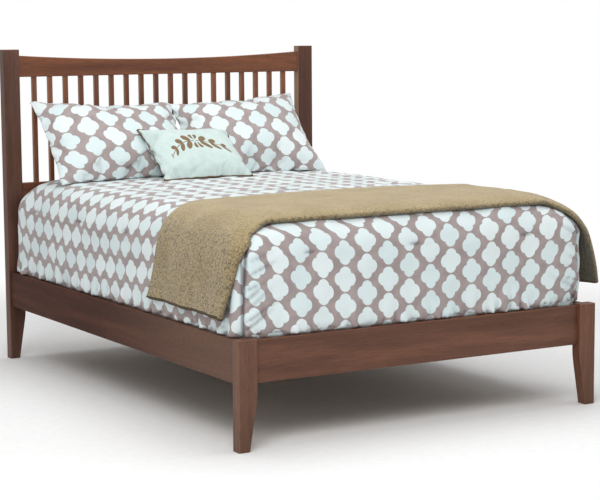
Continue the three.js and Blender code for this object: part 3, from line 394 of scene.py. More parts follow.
for stem, along, dark, light, extra, names in STAINS:
    dress(wood(f"stained_{stem}", along, dark, light, **extra), *names)
    print("stained", stem, "on", len(names))

# %% [markdown]
# ## Plain timber, steel and plastic
#
# What lies under the bedding isn't stained. The cleats and slats are bare poplar or pine, the
# rail fasteners are zinc-plated steel with a dull cloudy shine, and the pad of the levelling
# foot is moulded plastic with a fine matt texture.

# %% Hidden hardware finishes
def bare_timber(name, along):
    finish = Finish(name)
    stretched = finish.moved(finish.place(), ALONG[along], (1, 2, 3))
    figure = finish.noise(stretched, 18, 4, 0.5, 0.8)
    lines = (finish.noise(stretched, 9, 2, 0.4, 0.4) * 60).sin() * 0.5 + 0.5
    streaks = finish.noise(stretched, 260, 3, 0.6)
    share = ((figure - 0.5) * 1.4 + 0.5 - lines * 0.22 + (streaks - 0.5) * 0.5).step(0.0, 1.0)
    colour = finish.mix(share, (176, 138, 92), (222, 192, 148))
    relief = finish.bump(streaks, 0.0005, 0.4)
    return finish.surface(Base_Color=colour, Roughness=0.62 + streaks * 0.15, Normal=relief)


def zinc_steel():
    finish = Finish("zinc_steel")
    cloud = finish.noise(finish.place(), 160, 4, 0.6)
    grain = finish.noise(finish.place(), 2400)
    colour = finish.mix(cloud.step(0.3, 0.7), (168, 168, 164), (198, 198, 196))
    relief = finish.bump(grain, 0.0001, 0.3)
    return finish.surface(Base_Color=colour, Metallic=1.0, Roughness=0.26 + cloud * 0.22, Normal=relief)


def moulded_plastic():
    finish = Finish("moulded_plastic")
    grain = finish.noise(finish.place(), 1500)
    wear = finish.noise(finish.place(), 90, 4)
    colour = finish.mix(wear.step(0.35, 0.7), (30, 30, 31), (48, 47, 46))
    relief = finish.bump(grain, 0.0002, 0.4)
    return finish.surface(Base_Color=colour, Roughness=0.5 + grain * 0.15, Normal=relief)


dress(bare_timber("bare_cleat", "y"), *sides("cleat"))
dress(bare_timber("bare_bed_slat", "x"), *named("bed_slat"))
dress(bare_timber("bare_leg", "z"), "centre_leg")
zinc = zinc_steel()
steel_pieces = [name for name in NODES if "_plate_" in name] + ["glide_insert", "glide_stud"]
dress(zinc, *steel_pieces)
dress(moulded_plastic(), "glide_pad")
print("steel pieces:", len(steel_pieces))

# %% [markdown]
# ## Numbers for cloth
#
# Cloth is made as grids of points held in numpy arrays, so that a wave or a crease can be added
# to all points in one line. Three small functions shape it. `wander` is a sum of a few sine
# waves in seeded random directions: smooth, endless and the same on every run. `ramp` is a soft
# step, and `bell` a soft bump.

# %% Array helpers
def wander(u, v, size, seed, count=9):
    """A smooth field of about -1 to 1 whose bumps are size metres across."""
    rng = np.random.default_rng(seed)
    total = np.zeros_like(u)
    for _ in range(count):
        angle = rng.uniform(0, 2 * math.pi)
        pace = 2 * math.pi / (size * rng.uniform(0.7, 1.5))
        start = rng.uniform(0, 2 * math.pi)
        total += np.sin((u * math.cos(angle) + v * math.sin(angle)) * pace + start)
    return total / math.sqrt(count)


def ramp(value, low, high):
    """0 below low, 1 above high and a soft step between them."""
    t = np.clip((value - low) / (high - low), 0, 1)
    return t * t * (3 - 2 * t)


def bell(distance, width):
    return np.exp(-(distance / width) ** 2)


print("field check:", round(float(wander(np.zeros(1), np.zeros(1), 0.1, 1)[0]), 3))

# %% [markdown]
# ## The shape of a made bed
#
# The comforter's outside is a box with a rounded upper edge and round corners in plan. It is
# described by rings: each ring is a rounded rectangle at one height. All rings have the same
# number of points, closer together near the corners, where the cloth folds most. Neighbouring
# rings join into clean strips of quads. The throw later lies on the same description.

# %% Rounded rings
ACROSS, LENGTHWISE = 160, 212
RAIL_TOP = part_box("side_rail_left")[1].z
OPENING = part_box("side_rail_right")[0].x
FOOT_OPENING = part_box("foot_rail")[1].y
COVER_LOW, COVER_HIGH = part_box("comforter")
EDGE_SIDE, EDGE_FOOT, EDGE_HEAD = COVER_HIGH.x - 0.003, COVER_LOW.y + 0.003, COVER_HIGH.y
EDGE_START, EDGE_TOP, EDGE_WIDTH, HEAD_EDGE = 0.612, 0.750, 0.147, 0.052
CORNER, TOP_CORNER, CROWN = 0.074, 0.190, 0.009


def spread(steps):
    """Shares of 0 to 1, three times closer at both ends than in the middle."""
    t = (np.arange(steps) + 0.5) / steps
    pace = 1 - 0.64 * (bell(t, 0.055) + bell(1 - t, 0.055))
    return np.concatenate([[0], np.cumsum(pace)]) / pace.sum()


def rounded_ring(half_x, y0, y1, radius, z, steps=(ACROSS, LENGTHWISE)):
    """Four sides of a rounded rectangle, anticlockwise from the left foot corner's middle."""
    arc = radius * math.pi / 4
    centres = [(-half_x + radius, y0 + radius), (half_x - radius, y0 + radius),
               (half_x - radius, y1 - radius), (-half_x + radius, y1 - radius)]
    ring = []
    for side in range(4):
        (ax, ay), (bx, by) = centres[side], centres[(side + 1) % 4]
        straight = math.hypot(bx - ax, by - ay)
        s = spread(steps[side % 2]) * (straight + 2 * arc)
        outward = (side - 1) * math.pi / 2
        angle = outward + (np.minimum(s - arc, 0) + np.maximum(s - arc - straight, 0)) / radius
        share = np.clip((s - arc) / straight, 0, 1)
        ring.append(np.stack([ax + (bx - ax) * share + radius * np.cos(angle),
                              ay + (by - ay) * share + radius * np.sin(angle),
                              np.full(len(s), z)], axis=1))
    return ring


def corner_radius(inset):
    """The plan's corners get rounder as the upper edge turns inwards."""
    return CORNER + (TOP_CORNER - CORNER) * inset / EDGE_WIDTH


def edge_z(angle):
    return EDGE_START + (EDGE_TOP - EDGE_START) * np.sin(angle)


def edge_ring(angle):
    """A ring on the rounded upper edge: angle 0 is its start and a right angle its top."""
    inset, head_inset = (width * (1 - math.cos(angle)) for width in (EDGE_WIDTH, HEAD_EDGE))
    return rounded_ring(EDGE_SIDE - inset, EDGE_FOOT + inset, EDGE_HEAD - head_inset,
                        corner_radius(inset), edge_z(angle))


def crown_height(x, y):
    """Height of the comforter's top, which swells towards the middle."""
    foot, head = EDGE_FOOT + EDGE_WIDTH, EDGE_HEAD - HEAD_EDGE
    across = 1 - np.abs(x) / (EDGE_SIDE - EDGE_WIDTH)
    along = np.where(y < 0, 1 - y / foot, 1 - y / head) / 0.3
    share = np.clip(np.minimum(across, along), 0, 1)
    return EDGE_TOP + CROWN * (1 - (1 - share) ** 2)


print("sides of a ring:", [len(side) for side in rounded_ring(1, -1, 1, 0.1, 0)])

# %% [markdown]
# ## The comforter's sheet
#
# A real comforter is one flat sheet. Its top stays flat, and the border turns down over the
# mattress. Every point therefore gets cloth coordinates: where it would be if the sheet lay
# flat. The printed pattern reads those, so it runs over the edge and down the sides, and it
# breaks at the corner folds, as on the real one.

# %% The comforter before its wrinkles
HEM_FALL = 0.009
TUCK_CLEARANCE = 0.0006
TURNING_RINGS = 16
OUTWARD = np.array([(0, -1), (1, 0), (0, 1), (-1, 0)])


def walked(points):
    """The way along a row of points, from 0 at the first. Of a grid, along each column."""
    return np.cumsum(np.linalg.norm(np.diff(points, axis=0, prepend=points[:1]), axis=-1), axis=0)


def patch(foot, head, left, right):
    """A grid of points between four edges, spaced like the rings' sides."""
    u, v = spread(len(foot) - 1)[:, None, None], spread(len(left) - 1)[None, :, None]
    edges = (1 - v) * foot[:, None] + v * head[:, None] + (1 - u) * left[None] + u * right[None]
    corners = (1 - u) * ((1 - v) * foot[0] + v * head[0]) + u * ((1 - v) * foot[-1] + v * head[-1])
    return edges - corners


def skirt_rings():
    """Rings from the hem, tucked behind the rails, up to the top of the rounded edge."""
    rings = []
    start = RAIL_TOP + 0.0005
    beside_rail, above_rail = np.linspace(0.3675, 0.400, 9), np.linspace(0.406, EDGE_START - 0.006, 27)
    for z in (0.300, 0.335, start, *beside_rail, *above_rail):
        over = 1 - math.exp(-max(0, z - start) / HEM_FALL)
        lean = 0.003 * max(0, z - 0.4) / (EDGE_START - 0.4)
        half = OPENING - TUCK_CLEARANCE + over * (COVER_HIGH.x - OPENING + TUCK_CLEARANCE) - lean
        foot = FOOT_OPENING + TUCK_CLEARANCE + over * (COVER_LOW.y - FOOT_OPENING - TUCK_CLEARANCE) + lean
        rings.append(rounded_ring(half, foot, EDGE_HEAD, CORNER, z))
    return rings + [edge_ring(a) for a in np.linspace(0, math.pi / 2, 28)]


def crown_grid(ring):
    """Points that fill the top ring: its four sides blended across, then lifted to the crown."""
    grid = patch(ring[0], ring[2][::-1], ring[3][::-1], ring[1])
    grid[..., 2] = crown_height(grid[..., 0], grid[..., 1])
    return grid


def cloth_coordinates(rings):
    """For each ring and side, where its points lie on the flat sheet. Far below the edge, a side
    lies straight on the sheet. Over the first rings it turns there from the top's round border."""
    top = rings[-1]
    flats = []
    drop = [np.zeros(len(side)) for side in top]
    for r in reversed(range(len(rings))):
        blend = min(1, (len(rings) - 1 - r) / TURNING_RINGS)
        row = []
        for k, side in enumerate(rings[r]):
            if r + 1 < len(rings):
                drop[k] = drop[k] + np.linalg.norm(side - rings[r + 1][k], axis=1)
            along = walked(side)
            along = (along - along[-1] / 2) * (1 if k < 2 else -1)
            edge = np.full(len(side), (top[k][:, :2] @ OUTWARD[k]).max() * OUTWARD[k].sum())
            middle = top[k].mean(axis=0)[1]
            plain = np.stack([edge, along + middle] if k % 2 else [along, edge], axis=1)
            row.append((1 - blend) * top[k][:, :2] + blend * plain + drop[k][:, None] * OUTWARD[k])
        flats.insert(0, row)
    return flats


skirt = skirt_rings()
crown = crown_grid(skirt[-1])
skirt_flats = cloth_coordinates(skirt)
print("rings:", len(skirt), "crown:", crown.shape[:2], "highest", round(float(crown[..., 2].max()), 4))

# %% [markdown]
# ## Wrinkles, tucks and tufts
#
# Three things shape a made bed's surface: its filling, its stitches and the way it is tucked in.
# All of them are heights in metres, added together. The filling swells the cloth in soft, wide
# waves, tack stitches hold it in place and pull small dimples, and where the cloth is dragged,
# it lies in pulled lines: narrow valleys with a soft ridge beside them.

# %% Filling, tacks and pulled lines
TUFTS_ACROSS = (-0.440, -0.020, 0.450)
TUFTS_LENGTHWISE = (-0.52, -0.10, 0.32, 0.74)
TUFT_HEIGHT = 0.636
TUFT_DEPTH = 0.007


def crease(a, b, start, angle, length, depth, width):
    """A pulled line in the cloth: a narrow valley with a soft ridge on its upper side."""
    da, db = a - start[0], b - start[1]
    along = da * math.cos(angle) + db * math.sin(angle)
    off = db * math.cos(angle) - da * math.sin(angle) + 0.05 * along ** 2 / length
    reach = ramp(along, -0.01, 0.012) * (1 - ramp(along, length * 0.35, length))
    return reach * depth * (0.8 * bell(off - 1.6 * width, 1.5 * width) - bell(off, width))


def tuft(a, b):
    """A dimple with a short pulled line through it and five faint spokes."""
    distance = np.hypot(a, b)
    spokes = np.cos(5 * np.arctan2(b, a) + 0.7) * bell(distance - 0.030, 0.018)
    line = bell(b + 4 * a * a, 0.0050) * bell(a, 0.038)
    dimple = 0.35 * bell(distance, 0.012) + 0.45 * bell(distance, 0.055) + 0.8 * line
    return 0.0011 * spokes - TUFT_DEPTH * dimple


def filling(u, v):
    return 0.0019 * wander(u, v, 0.26, 3) + 0.0011 * wander(u, v, 0.11, 4) + 0.0004 * wander(u, v, 0.045, 5)


print("a tack pulls", round(-1000 * float(tuft(0.0, 0.0)), 1), "mm deep")

# %% [markdown]
# ## Tucked edges and folded corners
#
# Where the cloth is tucked in behind the rails, it gathers into short folds that die out
# upwards. At each corner it is folded over itself, which leaves a vertical seam with a rounded
# pleat beside it, and the fold drags pulled lines into the flat cloth next to it.

# %% Tucks and corner folds
SEAM_TOP = 0.640
SEAM_DRIFT = 0.009
CREASE_STARTS = (0.392, 0.418, 0.452, 0.486, 0.524, 0.566, 0.612)


def gathers(along, z):
    """Short folds where the cloth goes in behind the rails."""
    narrow = 2 * np.abs(wander(along, z * 0.15, 0.034, 7)) - 1
    wide = 2 * np.abs(wander(along, z * 0.2, 0.100, 8)) - 1
    rise = np.maximum(z - RAIL_TOP, 0)
    return 0.0060 * narrow * np.exp(-rise / 0.018) + 0.0066 * wide * np.exp(-rise / 0.045)


def corner_fold(from_corner, z, pleat):
    """The seam of a folded corner. The pleat is the rounded roll on the long side."""
    upto = 1 - ramp(z, SEAM_TOP, SEAM_TOP + 0.060)
    if pleat:
        groove = -0.010 * bell(from_corner, 0.0036)
        roll = 0.0095 * bell(from_corner - 0.028, 0.019) - 0.0075 * bell(from_corner - 0.068, 0.013)
        return upto * (groove + roll)
    drift = from_corner - SEAM_DRIFT * ramp(z, 0.42, SEAM_TOP)
    return upto * (-0.013 * bell(drift, 0.0042) + 0.0022 * bell(drift - 0.016, 0.012))


def corner_creases(from_corner, z, seed):
    """Pulled lines that fan out from the seam, where the fold drags on the flat cloth."""
    rng = np.random.default_rng(seed)
    total = np.zeros_like(z)
    for start in CREASE_STARTS:
        angle = math.radians(rng.uniform(14, 40))
        length = rng.uniform(0.09, 0.21)
        depth = rng.uniform(0.0022, 0.0044)
        total += crease(from_corner, z, (0.006, start), angle, length, depth, rng.uniform(0.0048, 0.0075))
    return total


station = np.linspace(0, 2, 400)
print("gathers reach", round(1000 * float(gathers(station, 0 * station + RAIL_TOP).max()), 1), "mm")

# %% [markdown]
# ## Adding the heights up
#
# Each side of each ring now gets its own sum: the filling everywhere, the gathers near the
# rails, the folds at its two ends and the tacks in its middle. Soft steps fade the sum out where
# the cloth goes behind the wood, so the hidden hem stays where the rail leaves room for it.

# %% Heights of a side and of the top
CORNER_PULL = 0.022


def side_heights(k, ring, flat):
    """Heights on one side of one ring, outwards. Sides 0 to 3 are foot, right, head and left."""
    z = ring[:, 2]
    along = walked(ring)
    back = along[-1] - along
    shown = ramp(z, RAIL_TOP - 0.001, RAIL_TOP + 0.012)
    total = filling(flat[:, 0], flat[:, 1]) + shown * gathers(along + k * 3.1, z)
    total += 0.0012 * wander(along * 0.35 + k, z, 0.075, 9) * ramp(z, 0.40, 0.46) * (1 - ramp(z, 0.60, 0.70))
    total += corner_fold(along, z, k == 1) + corner_fold(back, z, k == 3)
    if k == 0:
        total += corner_creases(along, z, 21) + corner_creases(back, z, 22)
    elif k != 2:
        near = back if k == 3 else along
        total += 0.8 * corner_creases(near - 0.085, z, 23 + k) * ramp(near, 0.08, 0.095)
    tufts = (TUFTS_ACROSS, TUFTS_LENGTHWISE, (), TUFTS_LENGTHWISE)[k]
    for place in tufts:
        total += tuft(ring[:, k % 2] - place, z - TUFT_HEIGHT)
    if k < 2:
        near = along if k else back
        total -= CORNER_PULL * bell(near, 0.080) * (1 - ramp(z, RAIL_TOP + 0.005, RAIL_TOP + 0.095))
    return total * ramp(z, RAIL_TOP - 0.002, RAIL_TOP + 0.010)


def seam_shares(ring, drifting):
    """1 in the seam of a folded corner, 0 elsewhere: the share of painted shade in the seam."""
    z = ring[:, 2]
    along = walked(ring)
    drift = SEAM_DRIFT * ramp(z, 0.42, SEAM_TOP) if drifting else 0
    line = bell(along - drift, 0.0062) + bell(along[-1] - along - drift, 0.0062)
    return line * (1 - ramp(z, SEAM_TOP, SEAM_TOP + 0.050)) * ramp(z, RAIL_TOP, RAIL_TOP + 0.006)


def crown_heights(grid):
    x, y = grid[..., 0], grid[..., 1]
    total = filling(x, y) - 0.0012
    for tx in TUFTS_ACROSS:
        for ty in TUFTS_LENGTHWISE:
            total += tuft(x - tx, y - ty)
    return total


print("tufts:", len(TUFTS_ACROSS) * (len(TUFTS_LENGTHWISE) + 1) + 2 * len(TUFTS_LENGTHWISE))

# %% [markdown]
# ## Points and faces
#
# A mesh is a list of points and a list of faces, and each face is a list of point numbers. In a
# grid or a pile of rings the numbers follow a rule, so whole blocks of faces come from shifting
# arrays of numbers. The helpers below do that, and read and write a mesh's values as arrays.

# %% Faces from numbers
def counted(columns, rows):
    return np.arange((columns + 1) * (rows + 1)).reshape(columns + 1, rows + 1)


def rim(grid):
    """The border of a grid, anticlockwise from its first point."""
    return np.concatenate([grid[:-1, 0], grid[-1, :-1], grid[1:, -1][::-1], grid[0, 1:][::-1]])


def quads(grid):
    """The four corners of each cell of a grid."""
    cells = np.stack([grid[:-1, :-1], grid[1:, :-1], grid[1:, 1:], grid[:-1, 1:]], axis=2)
    return cells.reshape(-1, 4, *grid.shape[2:])


def strip(first, second):
    """Quads between two rings of point numbers, facing outwards when second is above first."""
    return np.stack([first, np.roll(first, -1), np.roll(second, -1), second], axis=1)


def cap_numbers(ring, steps, base):
    """Point numbers of a grid that closes a ring: the ring's own on its border, new ones inside."""
    number = counted(*steps)
    across, length = steps
    number[1:-1, 1:-1] = base + np.arange((across - 1) * (length - 1)).reshape(across - 1, length - 1)
    foot, side, head, far = np.split(ring, np.cumsum([across, length, across]))
    number[:-1, 0], number[-1, :-1], number[1:, -1], number[0, 1:] = foot, side, head[::-1], far[::-1]
    return number


def flat_ring(ring):
    return np.concatenate([side[:-1] for side in ring])


def block_rings(profile, half_x, y0, y1, corner, steps=(ACROSS, LENGTHWISE)):
    rings = []
    for inset, z in profile:
        radius = max(corner - inset, corner / 4)
        rings.append(flat_ring(rounded_ring(half_x - inset, y0 + inset, y1 - inset, radius, z, steps)))
    return rings


print("cells of a 2 by 3 grid:", len(quads(counted(2, 3))))

# %% Mesh helpers
def read(items, key, width=1, kind=np.float32):
    values = np.empty(len(items) * width, dtype=kind)
    items.foreach_get(key, values)
    return values.reshape(-1, width) if width > 1 else values


def coordinates(obj):
    return read(obj.data.vertices, "co", 3).astype(float)


def normals(obj):
    return read(obj.data.vertices, "normal", 3).astype(float)


def set_coordinates(obj, points):
    obj.data.vertices.foreach_set("co", np.asarray(points, dtype=np.float32).ravel())
    obj.data.update()


def store(obj, name, values, kind="FLOAT", key="value"):
    """Gives every point of the mesh a value under a name."""
    layer = obj.data.attributes.new(name, kind, "POINT")
    layer.data.foreach_set(key, np.ascontiguousarray(values, dtype=np.float32).ravel())


def triangles(obj):
    return sum(len(p.vertices) - 2 for p in obj.data.polygons)


def mesh_object(name, points, blocks, flat=None, corner_flat=None):
    """A mesh with its place in its vertices, its faces given in blocks. flat gives the cloth
    coordinates of each point, and corner_flat those of each face corner, where a seam gives a
    point two of them."""
    mesh = bpy.data.meshes.new(name)
    faces = [tuple(int(i) for i in face) for block in blocks for face in block]
    mesh.from_pydata([tuple(p) for p in points], [], faces)
    if flat is not None:
        corner_flat = np.asarray(flat)[read(mesh.loops, "vertex_index", kind=np.int32)]
    if corner_flat is not None:
        layer = mesh.uv_layers.new(name="cloth")
        layer.data.foreach_set("uv", np.asarray(corner_flat, dtype=np.float32).ravel())
    mesh.polygons.foreach_set("use_smooth", [True] * len(mesh.polygons))
    mesh.update()
    return placed(name, mesh)


print("mesh helpers ready")

# %% [markdown]
# ## Dark folds
#
# Little light gets to the bottom of a narrow fold, so real folds look darker and more crisp than
# a render with soft light shows. How hollow the mesh is at a point can be measured: if the
# neighbours stand in front of the point's tangent plane, it lies in a hollow. The value is
# stored on the mesh, and the finishes of the cloth darken where it is high.

# %% Marking the folds
LEAST_BEND, BEND_SPAN = 25, 200


def mark_folds(obj, least=LEAST_BEND, span=BEND_SPAN, blurs=2, seam_shade=0.0):
    """Stores how sharply the surface is hollowed at each point, from 0 where the hollow bends by
    least to 1 where it bends by span more, both as 1 over the radius in metres. The cloth finishes
    paint shade by this value. The last argument gives shares of painted seam shade that are known
    already."""
    points, facing = coordinates(obj), normals(obj)
    ends = read(obj.data.edges, "vertices", 2, np.int32)
    near, far = np.concatenate([ends, ends[:, ::-1]]).T
    count = np.maximum(np.bincount(near, minlength=len(points)), 1)
    step = points[far] - points[near]
    bend = 2 * (step * facing[near]).sum(axis=1) / np.maximum((step ** 2).sum(axis=1), 1e-9)
    hollow = np.clip((np.bincount(near, bend, len(points)) / count - least) / span, 0, 1)
    for _ in range(blurs):
        hollow = hollow * 0.5 + np.bincount(near, hollow[far], len(points)) / count * 0.5
    store(obj, "fold", np.maximum(np.clip(hollow * 1.5, 0, 1), seam_shade))
    print(obj.name, "folds: mean", round(float(hollow.mean()), 4), "deepest", round(float(hollow.max()), 2))


print("folds count from a radius of", round(1000 / LEAST_BEND), "mm down")

# %% [markdown]
# ## The closed comforter
#
# The rings become one mesh: skirt, crown, and an inner wall that lies round the mattress, so
# the piece is closed. Each face corner also gets its place on the flat sheet. Face corners carry
# it rather than points, because at a corner fold one point has two places on the sheet.

# %% The plain comforter
MATTRESS_LOW, MATTRESS_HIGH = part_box("mattress")
CLEAR = 0.0003
SHOULDER = 0.075


def quarter(width, steps):
    """A quarter turn as pairs: how far it is drawn in, and how far it is from its end."""
    angles = np.linspace(0, math.pi / 2, steps)
    return [(width * (1 - math.cos(a)), width * (1 - math.sin(a))) for a in angles]


def inner_profile(low):
    """Pairs of inset and height from the hem up round the mattress and over its shoulder."""
    top = MATTRESS_HIGH.z + CLEAR
    turn = [(inset, top - rest) for inset, rest in quarter(SHOULDER, 8)]
    return [(0, low), (0, (low + top - SHOULDER) / 2), *turn]


def build_comforter():
    outer = [flat_ring(ring) for ring in skirt]
    loop = len(outer[0])
    inner = block_rings(inner_profile(skirt[0][0][0, 2]), MATTRESS_HIGH.x + CLEAR,
                        MATTRESS_LOW.y - CLEAR, MATTRESS_HIGH.y + CLEAR, 0.060)
    points = np.concatenate([*outer, crown[1:-1, 1:-1].reshape(-1, 3), *inner])
    rows = [r * loop + np.arange(loop) for r in range(len(skirt))]
    number = cap_numbers(rows[-1], (ACROSS, LENGTHWISE), len(skirt) * loop)
    linings = [len(points) - (len(inner) - i) * loop + np.arange(loop) for i in range(len(inner))]
    blocks = [strip(low, high) for low, high in zip(rows, rows[1:])] + [quads(number)]
    flats = [np.stack([low[:-1], low[1:], high[1:], high[:-1]], axis=1).reshape(-1, 2)
             for below, higher in zip(skirt_flats, skirt_flats[1:]) for low, high in zip(below, higher)]
    flats.append(quads(crown[..., :2]).reshape(-1, 2))
    hidden = [strip(linings[0], rows[0])] + [strip(high, low) for low, high in zip(linings, linings[1:])]
    hidden.append([linings[-1][::-1]])
    flats.append(np.zeros((sum(len(face) for block in hidden for face in block), 2)))
    return mesh_object("comforter_cloth", points, blocks + hidden, corner_flat=np.concatenate(flats))


comforter = build_comforter()
print(comforter.name, len(comforter.data.vertices), "points")

# %% [markdown]
# ## Raising the cloth
#
# The heights are added along the surface's own normals, which Blender works out from the plain
# mesh first. Where they push the cloth out over a rail, it is kept above the wood.

# %% The wrinkled comforter
COVER_RAIL = 0.0004
RIM_RINGS = 10


def ring_rows(measure):
    """One row of values round each ring of the skirt, from a function of side, points and cloth."""
    return [np.concatenate([measure(k, ring[k], flats[k])[:-1] for k in range(4)])
            for ring, flats in zip(skirt, skirt_flats)]


def comforter_heights():
    """One height for each outer point, in the order in which build_comforter adds them. The last
    rings run over into the heights of the crown."""
    rows = ring_rows(side_heights)
    top = crown_heights(crown)
    for step in range(RIM_RINGS):
        share = (step + 1) / RIM_RINGS
        row = len(rows) - RIM_RINGS + step
        rows[row] = rows[row] * (1 - share) + rim(top) * share
    return np.concatenate([*rows, top[1:-1, 1:-1].ravel()])


def hand_in(obj, node=None):
    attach(obj, "bed")
    if node:
        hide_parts(node)
    print(obj.name, triangles(obj), "triangles")


heights = comforter_heights()
cloth = coordinates(comforter)
outside = cloth[:len(heights)]
pushed = outside + normals(comforter)[:len(heights)] * heights[:, None]
over_rail = (np.abs(pushed[:, 0]) > OPENING - COVER_RAIL) | (pushed[:, 1] < FOOT_OPENING + COVER_RAIL)
over_rail &= outside[:, 2] > RAIL_TOP
pushed[over_rail, 2] = np.maximum(pushed[over_rail, 2], RAIL_TOP + 2 * COVER_RAIL)
cloth[:len(heights)] = pushed
set_coordinates(comforter, cloth)
# The corner seams get painted shade through the stored fold values.
seam_shade = np.concatenate(ring_rows(lambda k, ring, flat: seam_shares(ring, k % 2 == 0)))
mark_folds(comforter, 12, 75, 1, np.pad(seam_shade, (0, len(cloth) - len(seam_shade))))
hand_in(comforter, "comforter")
print("heights", round(heights.min(), 4), "to", round(heights.max(), 4))

# %% [markdown]
# ## Printed sateen
#
# Comforter and pillows share a generic print: pale four-lobed shapes in a half-drop repeat on a
# warm grey ground. The shapes come from distance, not from a picture: fold the repeat's plane
# with absolute values, and a single circle becomes four lobes. A little noise roughens the
# outline, as ink does on cotton, and each shape is a touch bluer or whiter than the next.

# %% Print
REPEAT = (0.086, 0.090)


def printed_sateen(name):
    finish = Finish(name)
    flat = finish.flat()
    u, v, _ = finish.split(flat)
    u = u / REPEAT[0] + 40.13
    v = v / REPEAT[1] + 40.31
    column = u.floor()
    v = v + (column * 0.5).fract()
    p = (u.fract() - 0.5).abs() * REPEAT[0]
    q = (v.fract() - 0.5).abs() * REPEAT[1]
    cell = finish.chance("2D", Vector=finish.joined(column, v.floor()))
    bleed = finish.noise(flat, 150, 3, 0.6)
    lobe = cell * 0.0026 + 0.0203
    long, short = p.most(q * 0.95), p.least(q * 0.95)
    distance = (((long - 0.0186) ** 2) + short * short).root() - lobe + (bleed - 0.5) * 0.0044
    motif = distance.step(-0.0004, 0.0005, 1.0, 0.0)
    pale = finish.mix(cell, (211, 227, 228), (227, 237, 238))
    cloud = finish.noise(flat, 22, 3).step(0.3, 0.7)
    ground = finish.mix(cloud, (150, 138, 136), (166, 152, 150))
    weave = finish.threads(flat, (1, 0.06, 1), (0.06, 1, 1), 2600)
    colour = finish.mix(motif, ground, pale)
    colour = finish.mix((weave - 0.5).abs() * 0.5, colour, (120, 112, 112))
    # Painted shade in the hollows of folds and in the corner seams.
    colour = finish.tinted(finish.stored("fold") * 0.8, colour, (0.16, 0.16, 0.19))
    crumple = finish.noise(flat, 55, 3, 0.55, 0.3)
    return finish.surface(
        Base_Color=colour,
        Roughness=0.62 - motif * 0.06 + weave * 0.08,
        Normal=finish.bump(weave * 0.12 + crumple, 0.0014, 0.5),
        Sheen_Weight=0.25,
        Sheen_Roughness=0.45,
    )


print_cloth = printed_sateen("printed_sateen")
comforter.data.materials.append(print_cloth)
print("print repeat", [round(1000 * side) for side in REPEAT], "mm")

# %% [markdown]
# ## The throw
#
# The throw is one long blanket folded double: two layers, joined by a soft roll along the front
# edge. Its middle lies on the comforter and its ends hang free, fuller at the front corners.
# The shape is found in two steps. First a grid of points on which the blanket rests, then the
# folded section, as a distance above that grid for each row of the cloth. The first step needs
# the rounded edge under the blanket and the way its ends stand off.

# %% The edge under the throw
THROW_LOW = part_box("throw")[0]
THROW_FRONT = COVER_LOW.y + 0.077
FLAP_FRONT = COVER_LOW.y + 0.033
THROW_BACK = COVER_LOW.y + 0.568
FRONT_SWEEP, BACK_SWEEP, SWEEP_BOW = 0.055, 0.078, 1.7
RELEASE = math.radians(25)
FLAP_LENGTH, HEM_TAPE = 0.25, 0.008
LEFT_FLARE, RIGHT_FLARE, BACK_FLARE, PUFF = 0.017, 0.108, 0.001, 0.014


def inset_at(angle):
    return EDGE_WIDTH * (1 - np.cos(angle))


def edge_half_width(y, inset):
    corner = corner_radius(inset)
    into = np.clip(EDGE_FOOT + inset + corner - y, 0, 0.9 * corner)
    return EDGE_SIDE - inset - corner + np.sqrt(corner ** 2 - into ** 2)


def edge_reach(y):
    """How far up the rounded edge a station near the foot gets."""
    return np.arccos(1 - np.clip(y - EDGE_FOOT, 0, EDGE_WIDTH) / EDGE_WIDTH)


def flap_fold(side, across, share):
    """Soft hanging folds, deeper towards the hem and fuller at the front corner."""
    within = np.clip(across, 0, 1)
    corner = LEFT_FLARE if side < 0 else RIGHT_FLARE
    flare = BACK_FLARE + (corner - BACK_FLARE) * (1 - within) ** 1.7
    wave = 0.0055 * np.sin(4.2 * math.pi * across + (0.4 if side < 0 else 1.9))
    wave = wave + 0.0030 * np.sin(9.4 * math.pi * across + side) * np.sin(math.pi * within)
    return (flare + wave * ramp(across, -0.02, 0.12)) * share ** 1.1


def puff(side, across):
    """How far the right flap stands off the comforter where it comes free."""
    return (PUFF if side > 0 else 0) * (1 - np.clip(across, 0, 1)) ** 1.6


print("throw from", round(THROW_FRONT, 3), "to", round(THROW_BACK, 3), "m")

# %% [markdown]
# ## Where the throw rests
#
# Rows of points run from the left hem up the flap, over the rounded edge, across the top and
# down again on the right. A flap, an edge and the top each have their own small function of a
# share of the way. At last the rows are smoothed, as a thick blanket bridges every small hollow.

